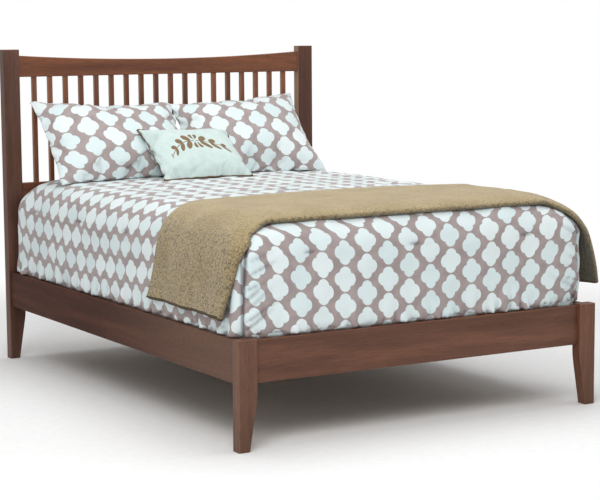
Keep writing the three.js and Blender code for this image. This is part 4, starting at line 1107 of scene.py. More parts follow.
# %% The rows below the throw
def support_rows(across):
    """Rows of points from the left hem over the top to the right hem."""
    def stations(front, back):
        return front + (back - front) * across

    def flap(side, share):
        sweep = share ** SWEEP_BOW
        y = stations(FLAP_FRONT + FRONT_SWEEP * sweep, THROW_BACK + BACK_SWEEP * sweep)
        z = edge_z(RELEASE) + (THROW_LOW.z + 0.0015 - edge_z(RELEASE)) * share
        angle = math.asin(np.clip((z - EDGE_START) / (EDGE_TOP - EDGE_START), 0, 1))
        off = 0.003 * share + puff(side, across) * (1 - share) + flap_fold(side, across, share)
        return np.stack([side * (edge_half_width(y, inset_at(angle)) + off), y, np.full_like(y, z)], axis=1)

    def edge(side, share):
        y = stations(FLAP_FRONT + (THROW_FRONT - FLAP_FRONT) * share, THROW_BACK)
        angle = RELEASE + (edge_reach(y) - RELEASE) * share
        out, up = np.cos(angle) / EDGE_WIDTH, np.sin(angle) / (EDGE_TOP - EDGE_START)
        off = puff(side, across) * (1 - share) ** 2 / np.hypot(out, up)
        x = side * (edge_half_width(y, inset_at(angle)) + off * out)
        return np.stack([x, y, edge_z(angle) + off * up], axis=1)

    def top(share):
        y = stations(THROW_FRONT, THROW_BACK)
        reach = edge_reach(y)
        x = share * edge_half_width(y, inset_at(reach))
        z = np.where(reach < math.pi / 2 - 0.001, edge_z(reach), crown_height(x, y))
        return np.stack([x, y, z], axis=1)

    down = np.concatenate([np.linspace(0, 1 - HEM_TAPE / FLAP_LENGTH, 24), [1]])
    rows = [flap(-1, s) for s in down[:0:-1]]
    rows += [edge(-1, s) for s in np.linspace(0, 1, 27)[:-1]]
    rows += [top(s) for s in np.linspace(-1, 1, 141)]
    rows += [edge(1, s) for s in np.linspace(1, 0, 27)[1:]]
    rows += [flap(1, s) for s in down[1:]]
    grid = np.array(rows)
    for _ in range(5):
        grid[2:-2] = grid[1:-3] * 0.25 + grid[2:-2] * 0.5 + grid[3:-1] * 0.25
    return grid


def unit(vectors):
    return vectors / np.linalg.norm(vectors, axis=-1, keepdims=True)


def grid_normals(grid):
    """Normals of a grid of points, upwards on the top and outwards on the sides."""
    return unit(np.cross(np.gradient(grid, axis=0), np.gradient(grid, axis=1)))


def smooth_normals(grid):
    found = grid_normals(grid)
    for _ in range(6):
        for turned in (found, found.swapaxes(0, 1)):
            turned[1:-1] = turned[:-2] * 0.25 + turned[1:-1] * 0.5 + turned[2:] * 0.25
    return unit(found)


print("rows below the throw:", len(support_rows(np.linspace(0, 1, 4))))

# %% [markdown]
# ## The folded section
#
# Seen from its end, the folded blanket is a flat loop that is open at the back: an upper layer,
# a round turn and a lower layer. Pressed lines from storing it folded run along it, and its pile
# is never quite even. A slab round that middle surface gives the blanket its thickness.

# %% The folded blanket
SHEET, LOWER, UPPER = 0.0076, 0.0046, 0.0148
ROLL_RISE = 0.0012
UPPER_STEPS, LOWER_STEPS = 64, 34
TAPE_EXTRA = 0.0014
HEM_PARTING, PARTING_LENGTH = 0.006, 0.07
PRESS_LINES = ((0.22, 0.0013, 1), (0.43, 0.0020, 2), (0.60, 0.0016, 3), (0.81, 0.0010, 4))


def folded_section():
    """Pairs of a share of the width and a height, round the fold from the top to the bottom."""
    width = THROW_BACK - THROW_FRONT
    roll = (UPPER + ROLL_RISE - LOWER) / 2
    top = [(s, UPPER + ROLL_RISE * bell(s * width, 0.03)) for s in spread(UPPER_STEPS)[::-1]]
    turn = [(-roll * 1.25 * math.sin(a) / width, LOWER + roll + roll * math.cos(a))
            for a in np.linspace(0, math.pi, 9)[1:-1]]
    under = [(s, LOWER) for s in spread(LOWER_STEPS)]
    return np.array(top + turn + under)


def ridges(grid, across):
    """Shallow creases that run along the blanket, and the uneven loft of its pile."""
    y = grid[..., 1]
    path = walked(grid)
    height = 0.0008 * wander(path, y, 0.16, 31) + 0.0003 * wander(path, y, 0.05, 32)
    for middle, depth, seed in PRESS_LINES:
        line = middle + 0.035 * wander(path, 0 * y, 1.3, 40 + seed)
        strength = 0.5 + 0.5 * wander(path, 0 * y, 0.7, 50 + seed)
        height += depth * np.clip(strength, 0, 1.4) * bell(across - line, 0.022)
    return height * ramp(across, 0.0, 0.05) * (1 - ramp(across, 0.96, 1.0))


def thicken(middle, thickness):
    """A closed slab round a grid of middle points. Returns points and faces."""
    half = grid_normals(middle) * thickness / 2
    number = np.arange(thickness.size).reshape(thickness.shape[:2])
    lower = number + number.size
    points = np.concatenate([(middle + half).reshape(-1, 3), (middle - half).reshape(-1, 3)])
    inner_faces = quads(lower)[:, [0, 3, 2, 1]]
    return points, np.concatenate([quads(number), inner_faces, strip(rim(lower), rim(number))])


def sampled(grid, shares, wanted):
    """Columns of a grid, known at some shares of its width, at the wanted ones."""
    place = np.interp(wanted, shares, np.arange(len(shares)))
    low = np.minimum(place.astype(int), len(shares) - 2)
    part = (place - low)[None, :, None]
    return grid[:, low] * (1 - part) + grid[:, low + 1] * part


def build_throw():
    across, height = folded_section().T
    column = np.arange(len(across))
    upper = (column < UPPER_STEPS)[None]
    shares = np.concatenate([np.linspace(-0.03, 0, 5)[:-1], spread(UPPER_STEPS)])
    support = support_rows(shares)
    grid = sampled(support, shares, across)
    away = sampled(smooth_normals(support), shares, across)
    middle = grid + away * (height + upper * ridges(grid, across[None]))[..., None]
    path = walked(middle)
    from_hem = np.minimum(path, path[-1:] - path)
    middle[..., 2] += HEM_PARTING * upper * np.clip(1 - from_hem / PARTING_LENGTH, 0, 1)
    thickness = SHEET + TAPE_EXTRA * (1 - ramp(from_hem, HEM_TAPE - 0.002, HEM_TAPE + 0.006))
    points, faces = thicken(middle, thickness[..., None])
    flat = np.stack([path, np.broadcast_to(across * 0.6, path.shape)], axis=2).reshape(-1, 2)
    obj = mesh_object("throw_blanket", points, [faces], flat=np.concatenate([flat, flat]))
    hem = np.tile(from_hem.ravel() < HEM_TAPE * 1.15, 2)
    obj.data.polygons.foreach_set("material_index", hem[faces].all(axis=1).astype(int))
    # The lower layer is painted in shade: 0 on the upper layer, 1 past the fold.
    underside_shade = ramp(column, UPPER_STEPS, UPPER_STEPS + 7)
    store(obj, "under", np.tile(np.broadcast_to(underside_shade, path.shape).ravel(), 2))
    return obj, round(float(path[-1].mean()), 3)


throw, throw_length = build_throw()
hand_in(throw, "throw")

# %% [markdown]
# ## Looped pile
#
# The throw has a curly, short pile of tufts about 12 mm across. Voronoi cells give rounded tufts
# when the distance to each cell's edge is used as a height, and a noise bends the cells so that
# no two are alike. The gaps between them are darker, as little light gets in, and a second noise
# closes some of them. Where the throw lies flat, the tufts are brushed smooth. Hem tape, cord and
# thread share one plain finish of twisted yarn.

# %% Pile and yarns
PILE_SCALE = 82


def looped_pile(name):
    finish = Finish(name)
    place = finish.place()
    bent = finish.add("ShaderNodeTexNoise", inputs={"Vector": place, "Scale": 52.0, "Detail": 2.0}, output=1)
    warped = finish.vector("MULTIPLY_ADD", bent, (0.018, 0.018, 0.018), place)
    gap, small = (finish.add("ShaderNodeTexVoronoi", {"feature": "DISTANCE_TO_EDGE"},
                             {"Vector": warped, "Scale": scale}) for scale in (PILE_SCALE, 210.0))
    fuzz = finish.noise(place, 900, 3, 0.65)
    patches = finish.noise(place, 9, 3)
    upright = finish.facing()[2].step(0.35, 1.0, 1.0, 0.42)
    curl = gap.step(0.0, 0.24) * 0.8 + small.step(0.0, 0.3) * 0.2
    closed = finish.noise(place, 76, 1).step(0.40, 0.60, 0.25, 1.0)
    net = gap.step(0.02, 0.17, 1.0, 0.0) * upright * closed
    colour = finish.mix(patches.step(0.3, 0.7), (174, 153, 108), (188, 168, 123))
    colour = finish.layered(
        colour,
        (small.step(0.0, 0.22, 0.35, 0.0) * upright, (120, 100, 66)),
        (net * 0.85, (88, 69, 37)),
        ((fuzz - 0.42) * 0.4, (206, 188, 150)),
        # Painted shade on the folded-under layer and in the hollows of folds.
        (finish.stored("under") * 0.9, (60, 56, 36)),
        (finish.stored("fold") * 0.6, (70, 58, 38)),
    )
    relief = finish.bump(curl * upright + fuzz * 0.2, 0.0044, 0.9)
    return finish.surface(
        Base_Color=colour, Roughness=0.94, Normal=relief, Sheen_Weight=0.3, Sheen_Roughness=0.5)


def yarn(name, dark, light, scale, roughness, depth, strength=0.6, detail=2, squeeze=None):
    """Tape, cord or thread: fine noise gives both its colour and its relief."""
    finish = Finish(name)
    place = finish.place()
    twist = finish.noise(finish.moved(place, squeeze) if squeeze else place, scale, detail)
    colour = finish.mix(twist, dark, light)
    return finish.surface(Base_Color=colour, Roughness=roughness, Normal=finish.bump(twist, depth, strength))


throw.data.materials.append(looped_pile("looped_pile"))
throw.data.materials.append(yarn("throw_hem_tape", (58, 44, 26), (92, 72, 46), 1400, 0.8, 0.0004, 0.5))
mark_folds(throw)
print("pile curls about", round(1000 / PILE_SCALE, 1), "mm")

# %% [markdown]
# ## Pillows
#
# A pillow is two flat pieces of cloth sewn together at the edges and blown up by its filling.
# Its drawn-in sides, pointed corners and the small puckers along the seam all come from that,
# so the pillows here are made in the same way: two flat grids share one border, and a short
# cloth simulation with inner pressure fills them. The result is kept as a plain mesh.

# %% Filling a pillow
FILLING = {
    "quality": 6, "mass": 0.2, "tension_stiffness": 60, "compression_stiffness": 25, "shear_stiffness": 12,
    "bending_stiffness": 0.3, "air_damping": 3, "use_pressure": True, "uniform_pressure_force": 7,
}
FRAMES = 26


def pillow_grid(width, height, columns, rows):
    """Front and back grids with a shared border. Returns points, faces and flat coordinates."""
    x = spread(columns) * width - width / 2
    z = spread(rows) * height - height / 2
    front = counted(columns, rows)
    back = front.copy()
    back[1:-1, 1:-1] = front.size + counted(columns - 2, rows - 2)
    flat = np.stack(np.meshgrid(x, z, indexing="ij"), axis=-1)
    flats = np.concatenate([flat.reshape(-1, 2), flat[1:-1, 1:-1].reshape(-1, 2)])
    loft = np.sin(math.pi * (flats[:, 0] / width + 0.5)) * np.sin(math.pi * (flats[:, 1] / height + 0.5))
    facing = np.where(np.arange(len(flats)) < front.size, -1, 1)
    points = np.stack([flats[:, 0], facing * loft * 0.02, flats[:, 1]], axis=1)
    return points, [quads(front), quads(back)[:, ::-1]], flats


def inflate(obj):
    """Blows the cloth up and returns the last shape's points."""
    cloth = obj.modifiers.new("filling", "CLOTH")
    for key, setting in FILLING.items():
        setattr(cloth.settings, key, setting)
    cloth.settings.effector_weights.gravity = 0
    cloth.point_cache.frame_start, cloth.point_cache.frame_end = 1, FRAMES
    scene = bpy.context.scene
    for number in range(1, FRAMES + 1):
        scene.frame_set(number)
    shape = obj.evaluated_get(bpy.context.evaluated_depsgraph_get()).to_mesh()
    points = read(shape.vertices, "co", 3).astype(float)
    obj.modifiers.remove(cloth)
    scene.frame_set(1)
    return points


print("a small grid has", len(pillow_grid(0.4, 0.3, 4, 3)[0]), "points, its border shared")

# %% [markdown]
# ## The outline of a pillow
#
# How far a pillow draws in depends on its filling and on how it stands. One that lies on its
# lower edge keeps that edge almost straight. So the outline is described here, and the blown
# cloth is moved to it as a whole, which keeps the small puckers that the simulation made.

# %% Fitting the outline
def wanted_outline(size, draws, slant, shift):
    """Where the border should lie, as a function of two shares of -1 to 1. Drawn in by draws
    along the bottom, the top and the sides, the top slanting, the bottom shifted sideways."""
    (bottom, top, height), (draw, dip, waist) = size, draws

    def place(u, v):
        upper = (v + 1) / 2
        x = u * ((bottom + (top - bottom) * upper) / 2 - waist * (1 - v * v)) + shift * (1 - upper)
        z = v * (height / 2 - np.where(v > 0, dip, draw) * (1 - u * u)) + slant * u * upper
        return np.stack([x, 0 * x, z], axis=-1)
    return place


def fitted_outline(shape, cells, place):
    """Moves the border to the wanted outline and the cloth inside with it. Only the smooth part
    of the border is replaced, so its small puckers stay."""
    number = counted(*cells)
    u, v = (2 * spread(steps) - 1 for steps in cells)

    def move(edge, wanted):
        padded = np.pad(shape[edge], ((4, 4), (0, 0)), mode="reflect", reflect_type="odd")
        smooth = np.stack([np.convolve(padded[:, i], np.ones(9) / 9, mode="valid") for i in range(3)], axis=1)
        return (wanted - smooth) * (1, 0, 1)

    total = patch(move(number[:, 0], place(u, 0 * u - 1)), move(number[:, -1], place(u, 0 * u + 1)),
                  move(number[0], place(0 * v - 1, v)), move(number[-1], place(0 * v + 1, v)))
    return shape + np.concatenate([total.reshape(-1, 3), total[1:-1, 1:-1].reshape(-1, 3)])


def filled_pillow(name, size, thickness, cells, seed, draws, slant, shift=0):
    """An upright pillow round the origin. size is its width at the bottom and at the top and
    its height, between the corner tips."""
    bottom, _, height = size
    border = rim(counted(*cells))
    points, blocks, flats = pillow_grid(bottom * 1.05, height * 1.06, *cells)
    points[:, 1] += wander(flats[:, 0], flats[:, 1], 0.09, seed) * 0.0025
    points[border, 1] *= 0.3
    obj = mesh_object(name, points, blocks, flat=flats)
    shape = inflate(obj)
    shape -= shape[border].mean(axis=0)
    depth = np.ptp(shape[:, 1])
    shape[:, 1] *= thickness / depth
    set_coordinates(obj, fitted_outline(shape, cells, wanted_outline(size, draws, slant, shift)))
    print(name, "came out", round(float(depth), 3), "deep and is set to", thickness)
    return obj


LARGE, LARGE_CELLS = (0.618, 0.628, 0.456), (78, 54)
SMALL, SMALL_CELLS = (0.398, 0.398, 0.300), (60, 46)
left_pillow = filled_pillow(
    "pillow_left_sham", LARGE, 0.160, LARGE_CELLS, 61, (0.020, 0.030, 0.014), -0.017, -0.022)
right_pillow = filled_pillow(
    "pillow_right_sham", LARGE, 0.160, LARGE_CELLS, 62, (0.020, 0.018, 0.028), 0.024, -0.022)
small_pillow = filled_pillow(
    "accent_pillow_cover", SMALL, 0.110, SMALL_CELLS, 63, (0.009, 0.009, 0.009), -0.015)

# %% [markdown]
# ## Setting the pillows down
#
# Each pillow leans back against the slats. It is turned, brought to the place of its plain
# solid, and then pressed flat wherever it would enter the comforter, the slats, its neighbour
# or, for the small one, the pillows behind it.

# %% Leaning and pressing
SLAT_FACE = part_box("head_slat_01")[0].y
LEAN, SMALL_LEAN, GAP = 47.5, 52.5, 0.0008
MEETING_X, MEETING_TOP, MEETING_LEAN, MEETING_RISE = 0.0035, 1.06, 0.022, 0.30


def lean(obj, node, back, x):
    """Leans the pillow by back degrees and sets it to the height and depth of the plain solid."""
    turn = Matrix.Rotation(math.radians(-back), 3, "X")
    points = coordinates(obj) @ np.array(turn).T
    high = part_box(node)[1]
    return points + (x, high.y - points[:, 1].max(), high.z - points[:, 2].max())


def rest_on_comforter(points, gap=0.0022):
    """Lifts what lies below the comforter's top, and ripples the pressed cloth a little."""
    floor_z = crown_height(points[:, 0], np.minimum(points[:, 1], EDGE_HEAD - HEAD_EDGE)) + gap
    half = EDGE_SIDE - EDGE_WIDTH
    slope = np.clip(np.abs(points[:, 0]) - half, 0, EDGE_WIDTH) / EDGE_WIDTH
    floor_z = floor_z - (EDGE_TOP - EDGE_START) * (1 - np.sqrt(np.clip(1 - slope ** 2, 0, 1)))
    below = points[:, 2] < floor_z
    points[:, 2] = np.where(below, floor_z + 0.0004 * np.sin(points[:, 0] * 90), points[:, 2])
    return points


def ray_tree(obj):
    faces = [tuple(face.vertices) for face in obj.data.polygons]
    return BVHTree.FromPolygons([point.co for point in obj.data.vertices], faces)


def press_behind(points, pieces, gap=0.001):
    """Keeps every point in front of the pieces that stand behind it."""
    trees = [ray_tree(piece) for piece in pieces]
    for i, (x, y, z) in enumerate(points):
        for tree in trees:
            hit = tree.ray_cast(Vector((x, -1.0, z)), Vector((0, 1, 0)))[0]
            if hit is not None and y > hit.y - gap:
                y = points[i, 1] = hit.y - gap
    return points


def place_pillow(obj, node, back, x):
    points = lean(obj, node, back, x)
    points[:, 1] = np.minimum(points[:, 1], SLAT_FACE - 0.0006)
    return rest_on_comforter(points)


def meeting(points):
    """The line on which the two large pillows touch, leaning a little to the left downwards."""
    return MEETING_X - MEETING_LEAN * (MEETING_TOP - points[:, 2]) / MEETING_RISE


points = place_pillow(left_pillow, "pillow_left", LEAN, -0.305)
points[:, 0] = np.minimum(points[:, 0], meeting(points) - GAP)
set_coordinates(left_pillow, points)
points = place_pillow(right_pillow, "pillow_right", LEAN, 0.312)
points[:, 0] = np.maximum(points[:, 0], meeting(points) + GAP)
set_coordinates(right_pillow, points)
points = place_pillow(small_pillow, "accent_pillow", SMALL_LEAN, -0.057)
set_coordinates(small_pillow, press_behind(points, (left_pillow, right_pillow)))

for obj, node, slot in (
        (left_pillow, "pillow_left", "bedding_print"),
        (right_pillow, "pillow_right", "bedding_print"),
        (small_pillow, "accent_pillow", "accent_cloth")):
    hand_in(obj, node)
    mark_folds(obj)

# %% [markdown]
# ## The small pillow's cover
#
# The small pillow has a plain pale slub cloth with a stitched motif in brown, and a brown cord
# sewn into its seam. The motif is a generic laurel spray, mirrored about the middle. Each leaf
# is an ellipse, found by repeating one cell along the stem.

# %% Pale slub cloth with a laurel spray
LEAF_PITCH = 0.0335


def slub_cloth(name):
    finish = Finish(name)
    flat = finish.flat()
    u, v, _ = finish.split(flat)
    side = u.abs()
    stem = v - 0.018 + side * side * 4.2
    leaf_u = ((side / LEAF_PITCH + 0.5).fract() - 0.5) * LEAF_PITCH
    taper = side.step(0.020, 0.125, 1.0, 0.55)
    leaf_v = stem.abs() - 0.0190 * taper
    long = (leaf_u * 0.62 + leaf_v * 0.78) / (0.0225 * taper)
    wide = (leaf_u * 0.78 - leaf_v * 0.62) / (0.0108 * taper)
    leaves = (long * long + wide * wide).step(0.9, 1.1, 1.0, 0.0)
    stalk = stem.abs().step(0.0013, 0.0021, 1.0, 0.0)
    spray = leaves.most(stalk) * side.step(0.127, 0.130, 1.0, 0.0) * side.step(0.002, 0.004)
    slub = finish.noise(finish.moved(flat, (0.05, 1, 1)), 1500, 3, 0.6)
    cross = finish.noise(finish.moved(flat, (1, 0.08, 1)), 1900)
    thread = slub * 0.6 + cross * 0.4
    cloud = finish.noise(flat, 30, 3)
    colour = finish.mix(cloud.step(0.3, 0.7), (197, 215, 211), (207, 224, 220))
    colour = finish.mix((thread - 0.45) * 0.35, colour, (232, 243, 240))
    brown = finish.mix(thread.step(0.35, 0.65), (104, 82, 48), (134, 108, 70))
    colour = finish.mix(spray, colour, brown)
    # Painted shade in the hollows of folds.
    colour = finish.tinted(finish.stored("fold") * 0.5, colour, (0.4, 0.42, 0.42))
    crumple = finish.noise(flat, 34, 2, 0.5, 0.3)
    near_seam = v.step(-0.150, -0.090, 1.0, 0.0)
    pucker = finish.noise(finish.moved(flat, (1, 0.14, 1)), 62).step(0.35, 0.65) * near_seam
    # Painted shade in the puckers along the lower seam.
    colour = finish.tinted(pucker * 0.28, colour, (0.55, 0.58, 0.58))
    relief = finish.bump(thread * 0.1 + crumple * 0.5 - pucker * 1.6 + spray * 0.2, 0.0026, 0.45)
    return finish.surface(Base_Color=colour, Roughness=0.8 - thread * 0.1, Normal=relief, Sheen_Weight=0.2)


def tube(name, path, radius, sides=8):
    """A closed tube of round section along a closed path of points."""
    ahead = unit(np.roll(path, -1, axis=0) - np.roll(path, 1, axis=0))
    across = unit(np.cross(ahead, path - path.mean(axis=0)))
    out = np.cross(across, ahead)
    turns = (np.arange(sides) / sides * 2 * math.pi)[None, :, None]
    rings = path[:, None] + radius * (np.cos(turns) * out[:, None] + np.sin(turns) * across[:, None])
    number = np.arange(len(path) * sides).reshape(len(path), sides)
    following, turned = np.roll(number, -1, axis=0), np.roll(number, -1, axis=1)
    faces = np.stack([number, following, np.roll(following, -1, axis=1), turned], axis=-1).reshape(-1, 4)
    return mesh_object(name, rings.reshape(-1, 3), [faces])


small_pillow.data.materials.append(slub_cloth("slub_cloth"))
for obj in (left_pillow, right_pillow):
    obj.data.materials.append(print_cloth)
piping = tube("accent_pillow_piping", coordinates(small_pillow)[rim(counted(*SMALL_CELLS))], 0.0036)
piping.data.materials.append(yarn("piping_cloth", (70, 54, 38), (112, 90, 62), 900, 0.75, 0.0005))
hand_in(piping)

# %% [markdown]
# ## Mattress and foundation
#
# Under the bedding lie a mattress and a foundation. Both are upholstered boxes: side bands of
# ticking, a tape sewn over each long edge, and on the mattress a quilted top panel. Rings of
# points round a rounded rectangle make the sides, so a tape is only a ring that stands a little
# proud of its neighbours. They stay inside the space that the comforter leaves for them.

# %% Upholstered blocks
BLOCK_STEPS = (64, 84)
BLOCK_CORNER = 0.060
SEAM_DEPTH, TAPE_HALF, TAPE_RINGS = 0.0035, 0.0085, (0.004, 0.008, 0.011)
QUILT_PITCH, QUILT_DEPTH = 0.20, 0.0045
COVER_BORDER = 0.024


def upholstered_block(name, node, profile, relief=None):
    """Rings of (inset, height), closed by a flat underside and a top panel with relief."""
    low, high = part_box(node)
    points = block_rings([(inset, low.z + z) for inset, z in profile], high.x, low.y, high.y,
                         BLOCK_CORNER, BLOCK_STEPS)
    loop = len(points[0])
    rows = [i * loop + np.arange(loop) for i in range(len(points))]
    blocks = [strip(a, b) for a, b in zip(rows, rows[1:])]
    for upward in (True, False):
        known = np.concatenate(points)
        number = cap_numbers(rows[-1 if upward else 0], BLOCK_STEPS, len(known))
        edges = (known[line] for line in (number[:, 0], number[:, -1], number[0], number[-1]))
        panel = patch(*edges)[1:-1, 1:-1]
        if upward and relief:
            panel[..., 2] += relief(panel[..., 0], panel[..., 1])
        points.append(panel.reshape(-1, 3))
        blocks.append(quads(number) if upward else quads(number)[:, ::-1])
    obj = mesh_object(name, np.concatenate(points), blocks)
    hand_in(obj, node)
    return obj


def rounded_profile(height, bottom_edge, top_edge, tapes, steps=9):
    """The outline of a block as pairs of inset and height. Beside its tapes it is drawn in."""
    known = quarter(bottom_edge, 4)
    known += [(z, 0) for z in np.linspace(bottom_edge, height - top_edge, 12)[1:-1]]
    known += [(height - rest, inset) for inset, rest in quarter(top_edge, steps)]
    known.sort()
    beside = [z + side * d for z in tapes for side in (-1, 1) for d in TAPE_RINGS]
    outline = []
    for z in sorted([z for z, _ in known] + beside):
        from_tape = min(abs(z - t) for t in tapes)
        drawn = SEAM_DEPTH * ramp(from_tape, TAPE_HALF - 0.0015, TAPE_HALF + 0.001)
        outline.append((max(float(np.interp(z, *zip(*known)) + drawn), 0), float(z)))
    return outline


def quilted(x, y):
    """Diamonds pressed in along their stitched lines; the panel never rises past its plane."""
    u, v = (x + y) / QUILT_PITCH, (x - y) / QUILT_PITCH
    lines = np.minimum(np.abs(u - np.round(u)), np.abs(v - np.round(v)))
    return -QUILT_DEPTH * bell(lines, 0.11) - 0.0004


BLOCK_NODES = ("mattress", "foundation")
mattress_height, foundation_height = (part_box(node)[1].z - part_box(node)[0].z for node in BLOCK_NODES)
mattress_tapes = (0.030, mattress_height - 0.052)
foundation_tapes = (0.014, foundation_height - 0.014)
mattress = upholstered_block("quilted_mattress", "mattress",
                             rounded_profile(mattress_height, 0.024, 0.075, mattress_tapes), quilted)
foundation = upholstered_block("foundation_box", "foundation",
                               rounded_profile(foundation_height, 0.004, 0.004, foundation_tapes, 4))

# %% Ticking and dust cover
def ticking(name):
    """Woven white ticking with a fine damask stripe."""
    finish = Finish(name)
    place = finish.place()
    x, y, _ = finish.split(place)
    stripe = ((x + y) * 210).sin() * 0.5 + 0.5
    weave = finish.threads(place, (1, 1, 0.1), (0.1, 0.1, 1), 1500)
    colour = finish.mix(stripe.step(0.35, 0.65), (218, 214, 204), (230, 227, 219))
    colour = finish.mix((weave - 0.5).abs() * 0.6, colour, (176, 170, 158))
    relief = finish.bump(weave * 0.1 + finish.noise(place, 26, 3, 0.5, 0.4), 0.002, 0.4)
    return finish.surface(Base_Color=colour, Roughness=0.7 - stripe * 0.12, Normal=relief, Sheen_Weight=0.2)


def dust_cover(name):
    """Thin black felt of pressed fibres."""
    finish = Finish(name)
    place = finish.place()
    fibres = finish.noise(place, 700, 4, 0.7, 1.2)
    cells = {"Vector": place, "Scale": 420.0, "Randomness": 0.15}
    dots = finish.add("ShaderNodeTexVoronoi", {"feature": "F1"}, cells)
    colour = finish.mix(fibres.step(0.35, 0.7), (38, 38, 40), (66, 66, 68))
    relief = finish.bump(dots.step(0.1, 0.5) + fibres * 0.4, 0.0005, 0.7)
    return finish.surface(Base_Color=colour, Roughness=0.9, Normal=relief)


def mark_faces(obj, number, chosen):
    """Gives a material number to the faces whose middle and normal are chosen."""
    for polygon in obj.data.polygons:
        if chosen(polygon.center, polygon.normal):
            polygon.material_index = number


woven = ticking("woven_ticking")
tape = yarn("seam_tape", (188, 184, 176), (214, 210, 202), 800, 0.55, 0.0005, squeeze=(1, 1, 3))
for obj, node, tapes in zip((mattress, foundation), BLOCK_NODES, (mattress_tapes, foundation_tapes)):
    obj.data.materials.append(woven)
    obj.data.materials.append(tape)
    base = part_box(node)[0].z
    mark_faces(obj, 1, lambda c, n: min(abs(c.z - base - t) for t in tapes) < TAPE_HALF)
foundation.data.materials.append(dust_cover("dust_cover"))
low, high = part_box("foundation")
half, foot, head = high.x - COVER_BORDER, low.y + COVER_BORDER, high.y - COVER_BORDER
mark_faces(foundation, 2, lambda c, n: n.z < -0.9 and abs(c.x) < half and foot < c.y < head)
print("dust cover and tapes are on")

# %% [markdown]
# ## Small repeated pieces
#
# Staples, tack stitches and hem stitches are the same small shape many times over, set along a
# line. Geometry Nodes do that well: a tree bends one short wire, puts a copy on every point and
# turns it to the point's direction. The result is then made a plain mesh.

# %% A tree of geometry nodes
class Plan(Nodes):
    """One geometry node tree with named sizes, and the plain mesh that it makes."""

    def __init__(self, name, **sizes):
        super().__init__(bpy.data.node_groups.new(name, "GeometryNodeTree"))
        self.sizes = sizes
        sockets = [("Geometry", "INPUT", "Geometry")] + [(label, "INPUT", "Float") for label in sizes]
        for label, way, kind in sockets + [("Geometry", "OUTPUT", "Geometry")]:
            self.tree.interface.new_socket(label, in_out=way, socket_type=f"NodeSocket{kind}")
        self.start = self.tree.nodes.new("NodeGroupInput")

    def given(self, label):
        return Value(self, self.start.outputs[label])

    def make(self, name, base, material, result):
        """Runs the tree on a base mesh and returns the result as an object of its own."""
        whole = self.add("GeometryNodeRealizeInstances", inputs={0: result})
        dressed = self.add("GeometryNodeSetMaterial", inputs={"Geometry": whole, "Material": material})
        self.add("NodeGroupOutput", inputs={0: dressed})
        modifier = base.modifiers.new("plan", "NODES")
        modifier.node_group = self.tree
        items = self.tree.interface.items_tree
        identifiers = {item.name: item.identifier for item in items if item.in_out == "INPUT"}
        for label, value in self.sizes.items():
            modifier[identifiers[label]] = value
        graph = bpy.context.evaluated_depsgraph_get()
        mesh = bpy.data.meshes.new_from_object(base.evaluated_get(graph), depsgraph=graph)
        base.modifiers.clear()
        bpy.data.objects.remove(base)
        mesh.name = name
        mesh.shade_smooth()
        return placed(name, mesh)


print("a plan adds nodes as a material does:", issubclass(Plan, Nodes))

# %% [markdown]
# ## A bent wire on every mark
#
# A staple and a stitch are both a short wire with its ends going in. The wire is a curve of
# three points swept along by a small circle. Every mark is a point that carries two directions,
# one for the wire and one for its back, and two turns line the copy up with them.

# %% Wires and staples
def wires(name, marks, length, thickness, height, material):
    """A short bent wire at every mark, its legs going in against the up direction. A mark is a
    place, the direction of the wire and that of its back, or an array of each."""
    places, *directions = (np.vstack(column) for column in zip(*marks))
    base = mesh_object("marks", places, [])
    for label, values in zip(("along", "up"), directions):
        store(base, label, values, "FLOAT_VECTOR", "vector")
    plan = Plan(name, Length=length, Thickness=thickness, Height=height)
    ends = {key: plan.joined(x=plan.given("Length") * side) for key, side in (("Start", -0.5), ("End", 0.5))}
    middle = plan.joined(z=plan.given("Height"))
    bow = plan.add("GeometryNodeCurveQuadraticBezier", inputs={"Resolution": 4, "Middle": middle, **ends})
    radius = plan.given("Thickness") * 0.5
    ring = plan.add("GeometryNodeCurvePrimitiveCircle", inputs={"Resolution": 6, "Radius": radius})
    drawn = {"Curve": bow, "Profile Curve": ring, "Fill Caps": True}
    wire = plan.add("GeometryNodeCurveToMesh", inputs=drawn)
    along, up = (plan.add("GeometryNodeInputNamedAttribute", {"data_type": "FLOAT_VECTOR"}, {"Name": label})
                 for label in ("along", "up"))
    first = plan.add("FunctionNodeAlignEulerToVector", {"axis": "X"}, {"Vector": along})
    turned = plan.add("FunctionNodeAlignEulerToVector", {"axis": "Z", "pivot_axis": "X"},
                      {"Rotation": first, "Vector": up})
    copies = plan.add("GeometryNodeInstanceOnPoints",
                      inputs={"Points": plan.given("Geometry"), "Instance": wire, "Rotation": turned})
    return plan.make(name, base, material, copies)


def staple_marks(half_x, y0, y1, z, pitch=0.072):
    """Evenly spaced marks round a rectangle, with their backs down."""
    corners = [(-half_x, y0), (half_x, y0), (half_x, y1), (-half_x, y1)]
    marks = []
    for (ax, ay), (bx, by) in zip(corners, corners[1:] + corners[:1]):
        count = round(math.dist((ax, ay), (bx, by)) / pitch)
        for i in range(count):
            t = (i + 0.5) / count
            marks.append(((ax + (bx - ax) * t, ay + (by - ay) * t, z), (bx - ax, by - ay, 0), (0, 0, -1)))
    return marks


staples = wires("dust_cover_staples", staple_marks(half - 0.004, foot + 0.004, head - 0.004, low.z + 0.0001),
                0.011, 0.0007, 0.0005, zinc)
hand_in(staples)

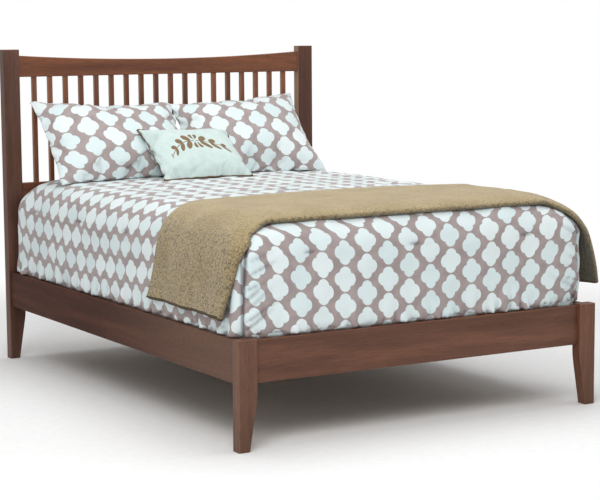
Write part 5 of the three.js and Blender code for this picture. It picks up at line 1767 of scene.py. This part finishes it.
# %% [markdown]
# ## Thread
#
# The comforter's filling is held by tack stitches at the bottom of its dimples, and the throw's
# hem tape is sewn on with a running stitch. Both are found on the finished surfaces: a ray that
# is sent at the comforter gives the place and the direction of a tack, and the throw's own rows
# of points give the line of its seam.

# %% Tack stitches and hem stitches
def tack_marks():
    tree = ray_tree(comforter)
    rays = [((x, y, 1.2), (0, 0, -1), (1, 0, 0)) for x in TUFTS_ACROSS for y in TUFTS_LENGTHWISE]
    rays += [((x, -1.3, TUFT_HEIGHT), (0, 1, 0), (1, 0, 0)) for x in TUFTS_ACROSS]
    rays += [((side, y, TUFT_HEIGHT), (-side, 0, 0), (0, 1, 0)) for side in (-1, 1) for y in TUFTS_LENGTHWISE]
    marks = []
    for start, ray, along in rays:
        place, facing, _, _ = tree.ray_cast(Vector(start), Vector(ray))
        marks.append((place + facing * 0.0007, along, facing))
    return marks


def seam_marks(obj, columns, pitch=0.0085):
    """Marks along the inner edge of both hem tapes, on the side that is seen."""
    rows = len(obj.data.vertices) // 2 // columns
    grid, facing = (values[:rows * columns].reshape(rows, columns, 3)
                    for values in (coordinates(obj), normals(obj)))
    marks = []
    for row in (1, rows - 2):
        line, out = grid[row, 1:UPPER_STEPS - 2], facing[row, 1:UPPER_STEPS - 2]
        path = walked(line)
        wanted = np.arange(pitch, path[-1], pitch)
        place, up, ahead = [np.stack([np.interp(wanted, path, part[:, i]) for i in range(3)], axis=1)
                            for part in (line, out, np.gradient(line, path, axis=0))]
        marks.append((place + up * 0.0005, ahead, up))
    return marks


pale_thread = yarn("pale_thread", (176, 174, 170), (206, 205, 200), 2400, 0.7, 0.0002, 0.4, 1)
brown_thread = yarn("brown_thread", (92, 72, 46), (126, 102, 68), 2400, 0.7, 0.0002, 0.4, 1)
tacks = wires("tack_stitches", tack_marks(), 0.013, 0.0013, 0.0016, pale_thread)
stitches = wires("hem_stitches", seam_marks(throw, len(folded_section())),
                 0.0055, 0.0009, 0.0012, brown_thread)
hand_in(tacks)
hand_in(stitches)
